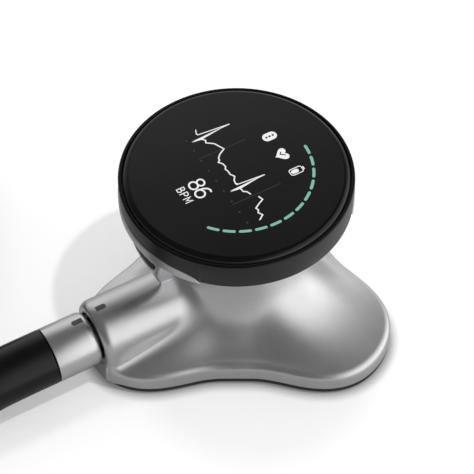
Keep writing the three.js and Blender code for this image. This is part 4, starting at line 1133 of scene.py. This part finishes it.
ARM_PROFILE = [(0, -4.7), *arc((0, 0), 4.7, -84, 22, 16), (4.3, 3.0), (4.2, 8.0), (4.2, 41.4)]
ARM_PROFILE += corner(4.2, 42.0, 0.4, 0) + [(3.3, 42.0), (3.3, 27.7), (0, 27.7)]


def ear_arm(side, name):
    start = (PIVOT[0], side * PIVOT[1], HEADSET_Z)
    return stand(lathe(f"{name}_arm_skin", ARM_PROFILE, 64), start, side * ARM_ANGLE)


EAR_SHARES = [
    (0.5274, 0.6888), (0.6857, 0.9046), (0.8175, 1), (0.9019, 0.9627), (0.9652, 0.7801), (0.9947, 0.5311),
    (1, 0.3942),
]


def ear_route(side):
    places = [arm_point(run) for run in (28, 35, 42)]
    places += [(EAR_REACH * ahead, EAR_SPREAD * aside) for ahead, aside in EAR_SHARES]
    first = places[0][0]
    route = []
    for x, y in places:
        fall = smoothstep(((x - first) / (EAR_REACH - first) - 0.3) / 0.7)
        route.append(Vector((x, side * y, HEADSET_Z + (EAR_TIP_Z - HEADSET_Z) * fall)))
    return route


def ear_tube(side, name):
    points = [HEADSET @ (p * MM) / MM for p in smooth_route(ear_route(side))]
    return tube_along(f"{name}_eartube_skin", points, EARTUBE_RADIUS)


TIP_WIDEST = 7.0
TIP_PROFILE = [(3.3, 0), (4.4, 0), (4.6, 0.3), (4.6, 2.3)]
TIP_PROFILE += [(4.6 + 1.7 * smoothstep(k / 8), 2.3 + 4.7 * k / 8) for k in range(1, 9)]
TIP_PROFILE += arc((1.9, TIP_WIDEST), 4.4, 0, 90, 10, tall=6.0)[1:] + [(1.2, 12.7), (1.2, 7.3), (3.3, 7.3)]


def ear_tip(side, name):
    before, end = ear_route(side)[-2:]
    ahead = Vector((end.x - before.x, end.y - before.y, 0)).normalized()
    back = end - ahead * TIP_WIDEST
    skin = lathe(f"{name}_ear_tip_skin", TIP_PROFILE, 64, closed=True)
    return stand(skin, (back.x, back.y, EAR_TIP_Z), atan2(ahead.y, ahead.x))


SPRING_ROWS = [(-5, 7.0), (0, 7.0), (5, 5.61), (12, 5.4), (24, 5.4)]
SPRING_BASE_X = 32.1
SPRING_BEND = [(34, 2), (50, 8)]
SPRING_SECTION = [(0.4, -3.8), (0.4, 3.8), (0.2, 4.0), (-0.2, 4.0), (-0.4, 3.8), (-0.4, -3.8), (-0.2, -4.0),
                  (0.2, -4.0)]


def spring_end(side):
    """The flat spring's middle line along one arm."""
    return [Vector((x, side * y, 0)) for x, y in (arm_point(*row) for row in SPRING_ROWS)]


def spring_half(side, name):
    """Half of the flat spring between the arms, from its bend to one end."""
    route = smooth_route(spring_end(-side)[::-1] + [Vector((SPRING_BASE_X, 0, 0))] + spring_end(side))
    route = route[len(route) // 2:]
    rings = []
    for p, ahead in zip(route, [Vector((0, side, 0))] + headings(route)[1:]):
        across = Vector((-ahead.y, ahead.x, 0))
        rings.append([tuple(HEADSET @ ((p + across * out + Vector((0, 0, HEADSET_Z + up))) * MM) / MM)
                      for out, up in SPRING_SECTION])
    obj = soften(skin_rings(f"leaf_spring_{name}", rings))
    dress(obj, LOOKS["bright_metal"])
    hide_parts("leaf_spring")
    start, end = (HEADSET @ Vector((x * MM, side * y * MM, HEADSET_Z * MM)) for x, y in SPRING_BEND)
    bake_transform(obj)
    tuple(start)
    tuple(end)


place(yoke(), "rubber_black", "yoke", body="hose")
for side, name in ((1, "left"), (-1, "right")):
    place(soften(ear_arm(side, name)), "rubber_black", f"{name}_arm", body=f"{name}_ear")
    place(ear_tube(side, name), "satin_metal", f"{name}_eartube", body=f"{name}_ear")
    place(soften(ear_tip(side, name), 40), "rubber_black", f"{name}_ear_tip", body=f"{name}_ear")
    spring_half(side, name)


# Stage and light: each lamp's name, azimuth, elevation, size and power, and each panel's azimuth, elevation,
# angles to which it is full and beyond which it is gone, and level
AMBIENT = 0.75
WALLS = 0.155
PANELS = [(45, 7, 28, 72, 1.05), (105, 0, 10, 55, 0.35), (165, 0, 15, 60, 0.65)]
LAMPS = [("key", 49, 69.3, 0.04, 4.7), ("back", 165, 66, 0.2, 2.4)]
LAMP_DISTANCE = 1.2
FLOOR_CORNERS = [(-620, -380, 0), (260, -380, 0), (260, 440, 0), (-620, 440, 0)]
FLOOR_GREY = (0.645, 0.655)
FLOOR_LIFT = 0.3
# The floor's colour in reflections is painted light and shade: dim, and brighter on the side towards the first
# panel.
FLOOR_IN_METAL = 0.4
LIT_SIDE_FLOOR_IN_METAL = 0.8
# Painted shade on the floor close to the part: its colour and glow darken within this reach, down to this
# share.
CONTACT_REACH = 2.8
CONTACT_SHADE = 0.35
WHITE = (1, 1, 1, 1)


def floor_material():
    """A pale floor: white to the camera, with painted shade close to the part, in reflections a painted dimmer
    floor that brightens towards the first panel, and clear from below.
    """
    material, graph, shader = new_material("floor_pale")
    path = graph.add("LightPath", {})
    geometry = graph.add("NewGeometry", {})
    # Painted light in reflections: the floor that metal and glass see is dim, and brighter towards the first
    # panel.
    across = graph.facing(geometry.outputs["Position"], *PANELS[0][:2])
    painted_floor_in_metal = graph.add("MapRange", {"Value": across, "From Min": 0.03, "From Max": 0.10,
                                       "To Min": FLOOR_IN_METAL, "To Max": LIT_SIDE_FLOOR_IN_METAL}, "Result")
    # Painted contact shade: the floor's colour and its glow for the camera darken where the part is near.
    open_share = graph.add("AmbientOcclusion", {"Distance": CONTACT_REACH * MM}, "AO", samples=12)
    painted_contact_shade = graph.add("MapRange", {"Value": open_share, "From Min": 0.45, "To Min": CONTACT_SHADE}, "Result")
    paint = graph.mixed(graph.noise(40), *map(grey, FLOOR_GREY))
    shaded = graph.add("VectorMath", {0: paint, "Scale": painted_contact_shade}, "Vector", operation="SCALE")
    lift = graph.add("Math", {0: path.outputs["Is Camera Ray"], 1: FLOOR_LIFT}, "Value", operation="MULTIPLY")
    graph.feed(shader, {
        "Base Color": graph.add("Mix", {"Factor": path.outputs["Is Glossy Ray"], "A": shaded, "B": painted_floor_in_metal},
                                "Result", data_type="RGBA"),
        "Emission Strength": graph.add("Math", {0: lift, 1: painted_contact_shade}, "Value", operation="MULTIPLY"),
        "Emission Color": WHITE,
        "Roughness": 0.9,
        "Specular IOR Level": 0.0,
    })
    clear = graph.add("BsdfTransparent", {}, "BSDF")
    seen = graph.add("MixShader", {"Fac": geometry.outputs["Backfacing"], 1: shader.outputs["BSDF"], 2: clear},
                     "Shader")
    graph.feed(material.node_tree.nodes["Material Output"], {"Surface": seen})
    return material


def lamp(name, azimuth, elevation, size, power):
    """A soft lamp that lights rough surfaces; metal and glass mirror the studio instead."""
    data = bpy.data.lights.new(name, "AREA")
    data.energy = power
    data.size = size
    obj = link(bpy.data.objects.new(name, data))
    direction = toward(azimuth, elevation)
    obj.location = direction * LAMP_DISTANCE
    obj.rotation_euler = direction.to_track_quat("Z", "Y").to_euler()
    obj.visible_glossy = False


def studio_strength(graph):
    """The studio's brightness by direction: dim walls and soft bright panels."""
    direction = graph.add("TexCoord", {}, "Generated")
    total = WALLS
    for azimuth, elevation, inner, outer, level in PANELS:
        facing = graph.facing(direction, azimuth, elevation)
        panel = graph.add("MapRange", {"Value": facing, "From Min": cos(radians(outer)),
                                       "From Max": cos(radians(inner)), "To Max": level},
                          "Result", interpolation_type="SMOOTHSTEP")
        total = graph.add("Math", {0: total, 1: panel}, "Value")
    return total


def make_world():
    """Even light on rough surfaces, the studio in polished ones, and white behind the part."""
    world = bpy.data.worlds.new("studio")
    bpy.context.scene.world = world
    world.use_nodes = True
    world.cycles.sampling_method = "NONE"
    world.node_tree.nodes.clear()
    graph = Graph(world.node_tree)
    path = graph.add("LightPath", {})
    current, studio, seen = [graph.add("Background", {"Color": WHITE, "Strength": level}, "Background")
                             for level in (AMBIENT, studio_strength(graph), 1.0)]
    for ray, shader in (("Is Glossy Ray", studio), ("Is Transmission Ray", studio), ("Is Camera Ray", seen)):
        current = graph.add("MixShader", {"Fac": path.outputs[ray], 1: current, 2: shader}, "Shader")
    graph.add("OutputWorld", {"Surface": current})


floor = mesh_object("floor", FLOOR_CORNERS, [[0, 1, 2, 3]], smooth=False)
dress(floor, floor_material())
make_world()
for settings in LAMPS:
    lamp(*settings)
bpy.context.scene.view_settings.view_transform = "Standard"
